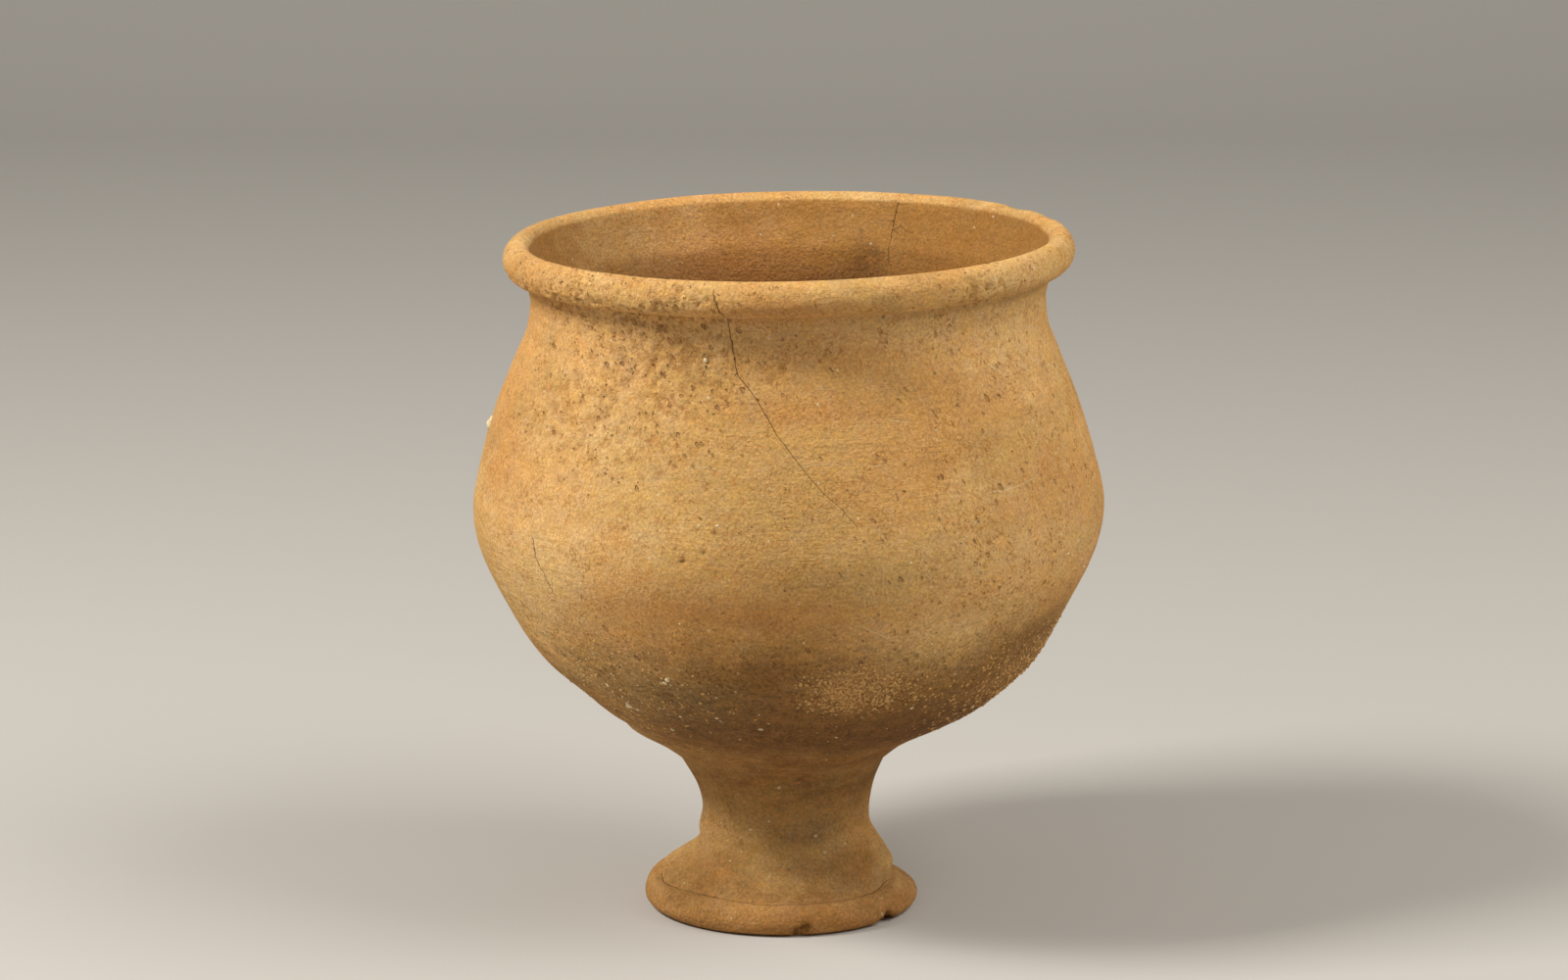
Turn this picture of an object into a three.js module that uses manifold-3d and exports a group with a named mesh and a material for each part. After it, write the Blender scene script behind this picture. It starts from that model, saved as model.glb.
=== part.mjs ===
// A wheel-thrown terracotta goblet: a full-bellied bowl with a rolled rim, on a short flared foot.
// Millimetres, +Z up. The origin is on the ground, under the centre of the bowl. The side with the
// cracked rim and the chipped foot faces -Y, and directions are turned from there towards +X.
import * as THREE from "three";
import { mergeVertices } from "three/addons/utils/BufferGeometryUtils.js";
import Module from "manifold-3d";

const wasm = await Module();
wasm.setup();

// The driving dimensions. Places on the profile are shares of these two.
const HEIGHT = 145;
const BELLY_RADIUS = 66.8;

// How finely the clay is faceted.
const SEGMENTS = 72;
const STEPS = { footEdge: 5, stem: 9, wall: 19, bead: 9, inside: 12, hollow: 4 };

// A place on the profile: its radius as a share of the belly's, its height as a share of the whole.
const at = (radius, height) => new THREE.Vector2(radius * BELLY_RADIUS, height * HEIGHT);

// The foot: a rounded edge that stands on the ground, up to the groove where the stem was set on it.
const FOOT_EDGE = [at(0.406, 0), at(0.43, 0.007), at(0.438, 0.019), at(0.427, 0.034), at(0.403, 0.044)];
const GROOVE = at(0.376, 0.046);

// The stem, from the groove up to where it joins the bowl.
const STEM = [at(0.356, 0.062), at(0.318, 0.083), at(0.282, 0.11), at(0.267, 0.146), at(0.285, 0.187)];
const JOIN = at(0.33, 0.228);

// The bowl's outer wall, from the join up to the neck under the rim.
const WALL = [
  at(0.446, 0.268),
  at(0.604, 0.31),
  at(0.71, 0.351),
  at(0.799, 0.392),
  at(0.883, 0.4545),
  at(0.972, 0.537),
  at(1.0, 0.6),
  at(0.979, 0.661),
  at(0.928, 0.744),
  at(0.857, 0.827),
  at(0.822, 0.868),
];
const NECK = at(0.811, 0.91);

// The rolled rim: an upright oval bead on top of the wall, from its outer crease to its inner side.
const BEAD = { centre: at(0.854, 0.972), halfWidth: 3, halfHeight: 3.75, from: -125, to: 150 };

// The inside, from under the rim down to the middle of the bowl's floor.
const INSIDE = [at(0.752, 0.92), at(0.752, 0.87), at(0.785, 0.81), at(0.853, 0.73), at(0.897, 0.66)];
const INSIDE_LOWER = [at(0.918, 0.6), at(0.89, 0.53), at(0.79, 0.44), at(0.64, 0.378), at(0.42, 0.325)];
const FLOOR = at(0, 0.3);

// The hollow under the foot, a shallow dome inside the ring that the goblet stands on.
const FOOT_HOLLOW = { edge: at(0.262, 0), depth: 9 };

// How far the hand-made piece strays from a true turned form. The axis wanders sideways on the way
// up: each place is a share of the height and a shift along X.
const AXIS = [
  { height: 0, shift: -1.5 },
  { height: 0.08, shift: -1.6 },
  { height: 0.15, shift: -0.5 },
  { height: 0.25, shift: -1.3 },
  { height: 0.29, shift: 0.3 },
  { height: 0.34, shift: 1 },
  { height: 0.44, shift: 0 },
  { height: 0.62, shift: 0 },
  { height: 0.8, shift: -0.35 },
  { height: 1, shift: 0 },
];

// The bowl leans, more so at the rim, and it was pressed a little oval while it was damp.
const BELLY_LEAN = 0.55;
const RIM_LEAN = 1.3;
const OVAL = { squeeze: 0.7, facing: 45 };

// Places where the wall swells or is worn away, with how far each one reaches.
const LUMPS = [
  { facing: -90, height: 0.088, across: 40, along: 0.024, out: -2.4 },
  { facing: -95, height: 0.056, across: 36, along: 0.014, out: 1.4 },
  { facing: 85, height: 0.09, across: 50, along: 0.03, out: 1.3 },
  { facing: 112, height: 0.042, across: 42, along: 0.014, out: -3.2 },
  { facing: -90, height: 0.274, across: 40, along: 0.016, out: 2.6 },
];

// Chips broken off the edge of the foot, each the size of the lump of clay that is missing.
const CHIPS = [
  { facing: 57, radius: 27.6, height: 0.2, size: [3.4, 2.2, 2.6], turn: 20 },
  { facing: -82, radius: 28.4, height: 9.6, size: [3.2, 5.2, 2.6], turn: -35 },
];

const { degToRad, smoothstep, lerp } = THREE.MathUtils;

// Points along a smooth curve through the given places, without the last one.
function alongCurve(places, steps) {
  return new THREE.SplineCurve(places).getSpacedPoints(steps).slice(0, -1);
}

// Points round the rolled rim, the angle measured from straight out and positive upwards.
function aroundBead() {
  const { centre, halfWidth, halfHeight, from, to } = BEAD;
  const arc = new THREE.EllipseCurve(centre.x, centre.y, halfWidth, halfHeight, degToRad(from), degToRad(to));
  return arc.getPoints(STEPS.bead);
}

// Points of the hollow under the foot, from the axis out to the ring that it stands on.
function underFoot() {
  const { edge, depth } = FOOT_HOLLOW;
  const dome = [];
  for (let i = 0; i < STEPS.hollow; i += 1) {
    const angle = (Math.PI / 2) * (i / STEPS.hollow);
    dome.push(new THREE.Vector2(edge.x * Math.sin(angle), depth * Math.cos(angle)));
  }
  return [...dome, edge];
}

// The whole section, from the axis under the foot, up the outside, over the rim and down to the floor.
function section() {
  return [
    ...underFoot(),
    ...alongCurve([...FOOT_EDGE, GROOVE], STEPS.footEdge),
    ...alongCurve([GROOVE, ...STEM, JOIN], STEPS.stem),
    ...alongCurve([JOIN, ...WALL, NECK], STEPS.wall),
    NECK,
    ...aroundBead(),
    ...alongCurve([...INSIDE, ...INSIDE_LOWER, FLOOR], STEPS.inside),
    FLOOR,
  ];
}

// How far the axis has wandered at a share of the height.
function axisShift(share) {
  const above = Math.max(1, AXIS.findIndex((place) => place.height >= share));
  const [low, high] = [AXIS[above - 1], AXIS[above]];
  return lerp(low.shift, high.shift, smoothstep(share, low.height, high.height));
}

// How far the lumps push the wall out, or in, at a direction in degrees and a share of the height.
function lumpAt(direction, share) {
  let out = 0;
  for (const lump of LUMPS) {
    const across = (THREE.MathUtils.euclideanModulo(direction - lump.facing + 180, 360) - 180) / lump.across;
    const along = (share - lump.height) / lump.along;
    out += lump.out * Math.exp(-across * across - along * along);
  }
  return out;
}

// Moves one point of the true turned form to where the potter's hands and the years left it.
function settle(point) {
  const share = Math.min(point.z / HEIGHT, 1);
  const radius = Math.hypot(point.x, point.y);
  const angle = Math.atan2(point.x, -point.y);
  const bowl = smoothstep(share, JOIN.y / HEIGHT, 0.42);
  const rim = smoothstep(share, 0.66, 1);
  const oval = (OVAL.squeeze / BEAD.centre.x) * lerp(0.3, 1, rim) * Math.cos(2 * (angle - degToRad(OVAL.facing)));
  const outside = smoothstep(radius, FOOT_HOLLOW.edge.x, 1.1 * FOOT_HOLLOW.edge.x);
  const lump = outside * lumpAt(THREE.MathUtils.radToDeg(angle), share);
  const grown = radius * (1 + bowl * oval) + lump;
  const lean = Math.tan(degToRad(lerp(BELLY_LEAN, RIM_LEAN, rim)));
  return new THREE.Vector3(
    grown * Math.sin(angle) + axisShift(share),
    -grown * Math.cos(angle),
    point.z + point.x * lean * bowl,
  );
}

// A geometry's triangles as a solid, with shared vertices merged and the flat ones at the poles left out.
function asSolid(geometry) {
  const bare = geometry.clone();
  bare.deleteAttribute("normal");
  bare.deleteAttribute("uv");
  const merged = mergeVertices(bare, 1e-3);
  const triangles = [];
  for (let i = 0; i < merged.index.count; i += 3) {
    const [a, b, c] = [0, 1, 2].map((k) => merged.index.getX(i + k));
    if (a !== b && b !== c && c !== a) {
      triangles.push(a, b, c);
    }
  }
  return new wasm.Manifold(
    new wasm.Mesh({
      numProp: 3,
      vertProperties: merged.attributes.position.array,
      triVerts: new Uint32Array(triangles),
    }),
  );
}

// A solid's vertices and triangles as a geometry.
function asGeometry(solid) {
  const mesh = solid.getMesh();
  const geometry = new THREE.BufferGeometry();
  geometry.setAttribute("position", new THREE.BufferAttribute(mesh.vertProperties, 3));
  geometry.setIndex(new THREE.BufferAttribute(mesh.triVerts, 1));
  geometry.computeVertexNormals();
  return geometry;
}

// The turned body, closed at both poles and settled out of true.
function turnedBody() {
  const lathe = new THREE.LatheGeometry(section(), SEGMENTS);
  lathe.rotateX(Math.PI / 2);
  const position = lathe.attributes.position;
  for (let i = 0; i < position.count; i += 1) {
    const moved = settle(new THREE.Vector3().fromBufferAttribute(position, i));
    position.setXYZ(i, moved.x, moved.y, moved.z);
  }
  return asSolid(lathe);
}

// The lump of clay that a chip has lost: a rough stone-shaped solid on the edge that it broke from.
function lostChip({ facing, radius, height, size, turn }) {
  const stone = new THREE.IcosahedronGeometry(1, 0);
  stone.scale(...size);
  stone.rotateY(degToRad(turn));
  stone.translate(0, -radius, height);
  stone.rotateZ(degToRad(facing));
  stone.translate(axisShift(height / HEIGHT), 0, 0);
  return asSolid(stone);
}

function goblet() {
  const clay = new THREE.MeshStandardMaterial({ color: 0xc8965f, roughness: 0.92, metalness: 0 });
  const chipped = CHIPS.reduce((body, chip) => body.subtract(lostChip(chip)), turnedBody());
  const mesh = new THREE.Mesh(asGeometry(chipped), clay);
  mesh.name = "goblet";
  return mesh;
}

const part = new THREE.Group();
part.add(goblet());

export default part;
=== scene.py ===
"""The looks of a wheel-thrown terracotta goblet: its worn clay surface, lime grains and crust."""

import logging
import math
from dataclasses import dataclass, field
from enum import Enum, IntEnum
from typing import Any, Iterable

import bpy
import numpy as np
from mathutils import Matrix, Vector, noise
from mathutils.kdtree import KDTree


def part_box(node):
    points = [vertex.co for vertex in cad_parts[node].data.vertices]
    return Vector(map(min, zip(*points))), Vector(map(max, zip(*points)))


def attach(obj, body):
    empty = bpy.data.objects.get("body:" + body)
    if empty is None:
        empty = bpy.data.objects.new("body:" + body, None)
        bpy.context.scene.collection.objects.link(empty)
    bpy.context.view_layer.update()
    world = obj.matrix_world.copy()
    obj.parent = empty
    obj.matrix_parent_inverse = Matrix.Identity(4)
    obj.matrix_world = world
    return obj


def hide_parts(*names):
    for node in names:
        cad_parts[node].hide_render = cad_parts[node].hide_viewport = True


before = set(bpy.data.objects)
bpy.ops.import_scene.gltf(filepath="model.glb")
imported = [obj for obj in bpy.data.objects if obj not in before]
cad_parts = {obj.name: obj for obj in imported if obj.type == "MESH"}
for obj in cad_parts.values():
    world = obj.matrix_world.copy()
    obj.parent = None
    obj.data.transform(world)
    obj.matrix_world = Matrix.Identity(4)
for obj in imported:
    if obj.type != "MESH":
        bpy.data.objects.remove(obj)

logging.basicConfig(level=logging.INFO, format="%(message)s")
log = logging.getLogger("goblet")

MM = 0.001
PER_METRE = 1000.0
FULL_TURN = 360.0
TINY = 1e-9
ROOT = "root"
NODE = "goblet"
LIFT = "lift"
SEED = 11
NOISE_RANGE = (0.25, 0.75)

SCREEN_FULL = 255.0
SRGB_TOE = 0.04045
SRGB_SLOPE = 12.92
SRGB_OFFSET = 0.055
SRGB_POWER = 2.4

Value = bpy.types.NodeSocket | float | int | tuple | str | None


def smoothstep(low: float, high: float, value: np.ndarray) -> np.ndarray:
    """An eased step.

    Args:
        low: where the step starts, at 0.
        high: where it ends, at 1.
        value: the numbers to put on the step.

    Returns:
        The height of the step at each number.
    """
    share = np.clip((value - low) / (high - low), 0.0, 1.0)
    return share * share * (3.0 - 2.0 * share)


def smooth_curve(places: np.ndarray, steps: int = 24) -> np.ndarray:
    """A smooth curve through some places, as the potter's rib draws it.

    Args:
        places: the places, one a row.
        steps: how many points to draw between two places.

    Returns:
        The curve's points, the last place among them.
    """
    padded = np.vstack([places[:1], places, places[-1:]])
    share = np.linspace(0.0, 1.0, steps, endpoint=False)[:, None]
    drawn = []
    for before, start, end, after in zip(padded, padded[1:], padded[2:], padded[3:]):
        leave, arrive = (end - before) / 2.0, (after - start) / 2.0
        cubic = 2.0 * (start - end) + leave + arrive
        square = 3.0 * (end - start) - 2.0 * leave - arrive
        drawn.append(cubic * share**3 + square * share**2 + leave * share + start)
    return np.vstack([*drawn, places[-1:]])


def turn_between(start: float, stop: np.ndarray) -> np.ndarray:
    """The shorter way round from one direction to others, in degrees."""
    return (stop - start + FULL_TURN / 2.0) % FULL_TURN - FULL_TURN / 2.0


def oval_arc(centre: np.ndarray, half: np.ndarray, start: float, stop: float, steps: int) -> np.ndarray:
    """Points round an upright oval.

    Args:
        centre: the oval's middle, as radius and height.
        half: its half width and half height.
        start: the first angle in degrees, from straight out and positive upwards.
        stop: the last angle.
        steps: how many steps to take.

    Returns:
        The points, both ends among them.
    """
    angles = np.radians(np.linspace(start, stop, steps + 1))
    return centre + half * np.stack([np.cos(angles), np.sin(angles)], axis=1)


class Zone(IntEnum):
    """The stretches of the goblet's section, in the order in which it is drawn."""

    UNDER_FOOT = 0
    FOOT_EDGE = 1
    STEM = 2
    WALL = 3
    BEAD = 4
    INSIDE = 5


@dataclass(frozen=True)
class Section:
    """The goblet's turned section. Places on it are shares of its belly's radius and of its height.

    Attributes:
        height: how high the goblet stands, in metres.
        belly: the radius of its widest part, in metres.
        foot_hollow: how wide and how deep the dome under the foot is.
        foot_edge: the rounded edge that the goblet stands on, from the ground up.
        groove: where the stem was set on the foot.
        stem: the stem, from the groove up.
        join: where the stem meets the bowl.
        wall: the bowl's outer wall, from the join up.
        neck: where the wall meets the rim.
        bead_centre: the middle of the rolled rim.
        bead_half: half of the rim's width and half of its height, in metres.
        bead_turn: the rim's first and last angle in degrees, from straight out and positive upwards.
        inside: the inner wall, from under the rim down to the middle of the floor.
        hollow_steps: how many steps draw the dome.
        bead_steps: how many steps draw the rim.
    """

    height: float
    belly: float
    foot_hollow: tuple[float, float] = (0.262, 0.062)
    foot_edge: tuple = ((0.406, 0.0), (0.43, 0.007), (0.438, 0.019), (0.427, 0.034), (0.403, 0.044))
    groove: tuple[float, float] = (0.376, 0.046)
    stem: tuple = ((0.356, 0.062), (0.318, 0.083), (0.282, 0.11), (0.267, 0.146), (0.285, 0.187))
    join: tuple[float, float] = (0.33, 0.228)
    wall: tuple = (
        (0.446, 0.268), (0.604, 0.31), (0.71, 0.351), (0.799, 0.392), (0.883, 0.4545), (0.972, 0.537),
        (1.0, 0.6), (0.979, 0.661), (0.928, 0.744), (0.857, 0.827), (0.822, 0.868),
    )
    neck: tuple[float, float] = (0.811, 0.91)
    bead_centre: tuple[float, float] = (0.854, 0.972)
    bead_half: tuple[float, float] = (3.0 * MM, 3.75 * MM)
    bead_turn: tuple[float, float] = (-125.0, 150.0)
    inside: tuple = (
        (0.752, 0.92), (0.752, 0.87), (0.785, 0.81), (0.853, 0.73), (0.897, 0.66), (0.918, 0.6),
        (0.89, 0.53), (0.79, 0.44), (0.64, 0.378), (0.42, 0.325), (0.0, 0.3),
    )
    hollow_steps: int = 30
    bead_steps: int = 60

    def at(self, places: Iterable[tuple[float, float]]) -> np.ndarray:
        """Turns shares into radii and heights in metres."""
        return np.array(list(places)) * (self.belly, self.height)

    def runs(self) -> dict[Zone, np.ndarray]:
        """Draws the section.

        Returns:
            For each zone, the points of its curve as radius and height, from the axis under the foot
            up the outside, over the rim and down to the middle of the floor.
        """
        hollow = self.at([self.foot_hollow])[0]
        bead_centre = self.at([self.bead_centre])[0]
        bead = oval_arc(bead_centre, np.array(self.bead_half), *self.bead_turn, self.bead_steps)
        return {
            Zone.UNDER_FOOT: oval_arc(np.zeros(2), hollow, 90.0, 0.0, self.hollow_steps),
            Zone.FOOT_EDGE: smooth_curve(self.at([*self.foot_edge, self.groove])),
            Zone.STEM: smooth_curve(self.at([self.groove, *self.stem, self.join])),
            Zone.WALL: smooth_curve(self.at([self.join, *self.wall, self.neck])),
            Zone.BEAD: np.vstack([self.at([self.neck]), bead]),
            Zone.INSIDE: np.vstack([bead[-1:], smooth_curve(self.at(self.inside))]),
        }


@dataclass
class Pattern:
    """The goblet's skin as facets, each corner held as a direction and a distance along the section.

    Attributes:
        section: the section that the skin is turned from.
        columns: how many facets go round at first.
        ring: how far apart the rings are at first, in metres.
        rounds: how many times at most the long edges are halved.
        zone_edges: the longest edge of a facet in each zone, in front and behind, in metres. On the
            inside, deep in the bowl and near the rim.
        to_back: where the front passes over into the back, in degrees to either side.
        to_rim: where the inside comes near the rim, as shares of the height.
    """

    section: Section
    columns: int = 96
    ring: float = 4.0 * MM
    rounds: int = 12
    zone_edges: dict[Zone, tuple[float, float]] = field(
        default_factory=lambda: {
            Zone.UNDER_FOOT: (3.0 * MM, 3.0 * MM),
            Zone.FOOT_EDGE: (1.2 * MM, 1.9 * MM),
            Zone.STEM: (1.35 * MM, 2.2 * MM),
            Zone.WALL: (1.45 * MM, 2.6 * MM),
            Zone.BEAD: (1.1 * MM, 1.5 * MM),
            Zone.INSIDE: (4.0 * MM, 2.4 * MM),
        }
    )
    to_back: tuple[float, float] = (88.0, 112.0)
    to_rim: tuple[float, float] = (0.6, 0.75)

    def __post_init__(self) -> None:
        """Draws the section once and lays out the first coarse facets."""
        runs = self.section.runs()
        self.starts: dict[Zone, float] = {}
        lengths, points, rings = [], [], [0.0]
        travelled = 0.0
        for zone, run in runs.items():
            steps = np.linalg.norm(np.diff(run, axis=0), axis=1)
            along = travelled + np.concatenate([[0.0], np.cumsum(steps)])
            self.starts[zone] = travelled
            lengths.append(along)
            points.append(run)
            count = max(2, math.ceil((along[-1] - travelled) / self.ring))
            rings.extend(np.linspace(travelled, along[-1], count + 1)[1:])
            travelled = float(along[-1])
        self.lengths = np.concatenate(lengths)
        self.points = np.vstack(points)
        self._lay_out(np.array(rings))

    def _lay_out(self, rings: np.ndarray) -> None:
        """Joins the rings into facets, with one corner at each pole.

        Args:
            rings: how far along the section each ring is, the two poles first and last.
        """
        turns = np.arange(self.columns) * (2.0 * math.pi / self.columns) - math.pi
        ways = np.stack([np.sin(turns), np.cos(turns)], axis=1)
        inner = rings[1:-1]
        self.ways = np.vstack([np.zeros((1, 2)), np.tile(ways, (len(inner), 1)), np.zeros((1, 2))])
        self.along = np.concatenate([[rings[0]], np.repeat(inner, self.columns), [rings[-1]]])
        here = np.arange(self.columns)
        beside = (here + 1) % self.columns
        last = len(self.along) - 1
        facets = [np.stack([np.zeros_like(here), 1 + beside, 1 + here], axis=1)]
        for ring in range(len(inner) - 1):
            low, high = 1 + ring * self.columns, 1 + (ring + 1) * self.columns
            facets.append(np.stack([low + here, high + beside, high + here], axis=1))
            facets.append(np.stack([low + here, low + beside, high + beside], axis=1))
        top = 1 + (len(inner) - 1) * self.columns
        facets.append(np.stack([top + here, top + beside, np.full_like(here, last)], axis=1))
        self.facets = np.vstack(facets)

    def profile(self, along: np.ndarray) -> np.ndarray:
        """Reads the section.

        Args:
            along: distances along the section.

        Returns:
            The radius and height at each.
        """
        radius = np.interp(along, self.lengths, self.points[:, 0])
        height = np.interp(along, self.lengths, self.points[:, 1])
        return np.stack([radius, height], axis=1)

    def zone_of(self, along: np.ndarray) -> np.ndarray:
        """The zone at distances along the section."""
        bounds = list(self.starts.values())[1:]
        return np.searchsorted(bounds, along, side="right")

    def allowed(self, ways: np.ndarray, along: np.ndarray) -> np.ndarray:
        """The longest edge that a facet may have.

        Args:
            ways: directions of some places.
            along: their distances along the section.

        Returns:
            The length allowed at each place, in metres.
        """
        radius, height = self.profile(along).T
        zones = self.zone_of(along)
        facing = np.degrees(np.arctan2(ways[:, 0], ways[:, 1]))
        behind = smoothstep(*self.to_back, np.abs(facing))
        lip = smoothstep(*self.to_rim, height / self.section.height)
        edge = np.zeros(len(along))
        for zone, (front, back) in self.zone_edges.items():
            share = lip if zone is Zone.INSIDE else behind
            edge = np.where(zones == zone, front + (back - front) * share, edge)
        return edge

    def refine(self) -> None:
        """Halves edges that are too long, the longest of each facet first, until none is."""
        for _ in range(self.rounds):
            if not self._refine_once():
                break
        log.info("skin: %d corners, %d facets", len(self.along), len(self.facets))

    def _refine_once(self) -> bool:
        """Halves each edge that is too long once.

        Returns:
            Whether any edge was halved.
        """
        radius, height = self.profile(self.along).T
        places = np.column_stack([self.ways * radius[:, None], height])
        sides = np.stack([self.facets, np.roll(self.facets, -1, axis=1)], axis=2).reshape(-1, 2)
        edges, side_edge = np.unique(np.sort(sides, axis=1), axis=0, return_inverse=True)
        side_edge = side_edge.reshape(-1, 3)
        middles = self.ways[edges].sum(axis=1)
        size = np.linalg.norm(middles, axis=1, keepdims=True)
        middles = np.where(size > TINY, middles / np.maximum(size, TINY), 0.0)
        halfway = self.along[edges].mean(axis=1)
        length = np.linalg.norm(places[edges[:, 0]] - places[edges[:, 1]], axis=1)
        marked = length > self.allowed(middles, halfway)
        if not marked.any():
            return False
        longest = np.argmax(length[side_edge], axis=1)
        rows = np.arange(len(self.facets))
        while True:
            touched = marked[side_edge].any(axis=1)
            wanted = side_edge[rows[touched], longest[touched]]
            if marked[wanted].all():
                break
            marked[wanted] = True
        fresh = np.full(len(edges), -1)
        fresh[marked] = len(self.along) + np.arange(marked.sum())
        self.ways = np.vstack([self.ways, middles[marked]])
        self.along = np.concatenate([self.along, halfway[marked]])
        turn = (longest[:, None] + np.arange(3)) % 3
        first, second, third = np.take_along_axis(self.facets, turn, axis=1).T
        on_first, on_second, on_third = fresh[np.take_along_axis(side_edge, turn, axis=1)].T
        self.facets = self._split(first, second, third, on_first, on_second, on_third)
        return True

    @staticmethod
    def _split(a: np.ndarray, b: np.ndarray, c: np.ndarray, ab: np.ndarray, bc: np.ndarray,
               ca: np.ndarray) -> np.ndarray:
        """Splits facets at the middles of their halved edges.

        Args:
            a: the first corner of each facet, where its longest edge starts.
            b: the second corner.
            c: the third corner.
            ab: the new corner on the longest edge, or -1.
            bc: the new corner on the next edge, or -1.
            ca: the new corner on the last edge, or -1.

        Returns:
            The corners of the new facets.
        """
        whole = ab < 0
        left, right = ~whole & (ca < 0), ~whole & (bc < 0)
        left_cut, right_cut = ~whole & (ca >= 0), ~whole & (bc >= 0)
        parts = [
            (whole, (a, b, c)),
            (left, (a, ab, c)),
            (left_cut, (a, ab, ca)),
            (left_cut, (ca, ab, c)),
            (right, (ab, b, c)),
            (right_cut, (ab, b, bc)),
            (right_cut, (ab, bc, c)),
        ]
        return np.vstack([np.stack([corner[rows] for corner in corners], axis=1) for rows, corners in parts])


@dataclass
class Graph:
    """A node tree that is written as expressions.

    Attributes:
        tree: the tree that the nodes go into.
    """

    tree: bpy.types.NodeTree

    def feed(self, socket: bpy.types.NodeSocket, value: Value) -> None:
        """Links a socket's source, or sets its value.

        Args:
            socket: the socket.
            value: where it gets its value from, or the value itself, or None to leave it.
        """
        if isinstance(value, bpy.types.NodeSocket):
            self.tree.links.new(value, socket)
        elif value is not None:
            socket.default_value = value

    def add(self, kind: str, inputs: dict[str | int, Value] | None = None, **settings: Any) -> bpy.types.Node:
        """Adds a node.

        Args:
            kind: the node's type.
            inputs: what goes into its sockets, by name or number.
            settings: the node's own settings.

        Returns:
            The node.
        """
        node = self.tree.nodes.new(kind)
        for name, value in settings.items():
            setattr(node, name, value)
        for key, value in (inputs or {}).items():
            self.feed(node.inputs[key], value)
        return node

    def math(self, operation: str, *values: Value) -> bpy.types.NodeSocket:
        """The result of an arithmetic node on some numbers."""
        return self.add("ShaderNodeMath", dict(enumerate(values)), operation=operation).outputs[0]

    def times(self, value: Value, by: Value) -> bpy.types.NodeSocket:
        """One number times another."""
        return self.math("MULTIPLY", value, by)

    def scaled(self, value: Value, by: Value, plus: Value) -> bpy.types.NodeSocket:
        """One number times another, plus a third."""
        return self.math("MULTIPLY_ADD", value, by, plus)

    def minus(self, value: Value, other: Value) -> bpy.types.NodeSocket:
        """One number less another."""
        return self.math("SUBTRACT", value, other)

    def centred(self, value: Value, height: float) -> bpy.types.NodeSocket:
        """Noise from 0 to 1 as relief of a height, as far below 0 as above."""
        return self.scaled(value, height, -height / 2.0)

    def total(self, values: Iterable[Value]) -> Value:
        """Adds numbers up.

        Args:
            values: the numbers.

        Returns:
            Their sum.
        """
        result: Value = 0.0
        for value in values:
            result = self.math("ADD", result, value)
        return result

    def vector(self, operation: str, *values: Value) -> bpy.types.NodeSocket:
        """The result of a vector arithmetic node."""
        return self.add("ShaderNodeVectorMath", dict(enumerate(values)), operation=operation).outputs[0]

    def split(self, vector: Value) -> list[bpy.types.NodeSocket]:
        """The X, Y and Z of a vector."""
        return list(self.add("ShaderNodeSeparateXYZ", {0: vector}).outputs)

    def combine(self, x: Value, y: Value, z: Value) -> bpy.types.NodeSocket:
        """A vector of three numbers."""
        return self.add("ShaderNodeCombineXYZ", {0: x, 1: y, 2: z}).outputs[0]

    def ease(self, value: Value, low: Value, high: Value, start: Value = 0.0, end: Value = 1.0) -> Value:
        """An eased step.

        Args:
            value: the number to put on the step.
            low: where the step starts.
            high: where it ends.
            start: its height before it.
            end: its height after it.

        Returns:
            The height of the step at the number.
        """
        inputs = {0: value, 1: low, 2: high, 3: start, 4: end}
        return self.add("ShaderNodeMapRange", inputs, interpolation_type="SMOOTHSTEP").outputs[0]

    def noise(self, place: Value, size: float, detail: float = 2.0, rough: float = 0.5,
              warp: float = 0.0) -> bpy.types.NodeSocket:
        """Smooth noise from 0 to 1.

        Args:
            place: where to read it.
            size: how wide its lumps are, in the unit of the place.
            detail: how many finer layers it has.
            rough: how strong those layers are.
            warp: how far it is pulled about.

        Returns:
            The noise.
        """
        layers = {"Detail": detail, "Roughness": rough, "Distortion": warp}
        return self.add("ShaderNodeTexNoise", {"Vector": place, "Scale": 1.0 / size, **layers}).outputs[0]

    def stretched(self, place: Value, x: float, y: float, z: float) -> bpy.types.NodeSocket:
        """A place with each direction scaled."""
        return self.vector("MULTIPLY", place, (x, y, z))

    def millimetres(self, place: Value) -> bpy.types.NodeSocket:
        """A place in metres, in millimetres."""
        return self.stretched(place, PER_METRE, PER_METRE, PER_METRE)


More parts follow.
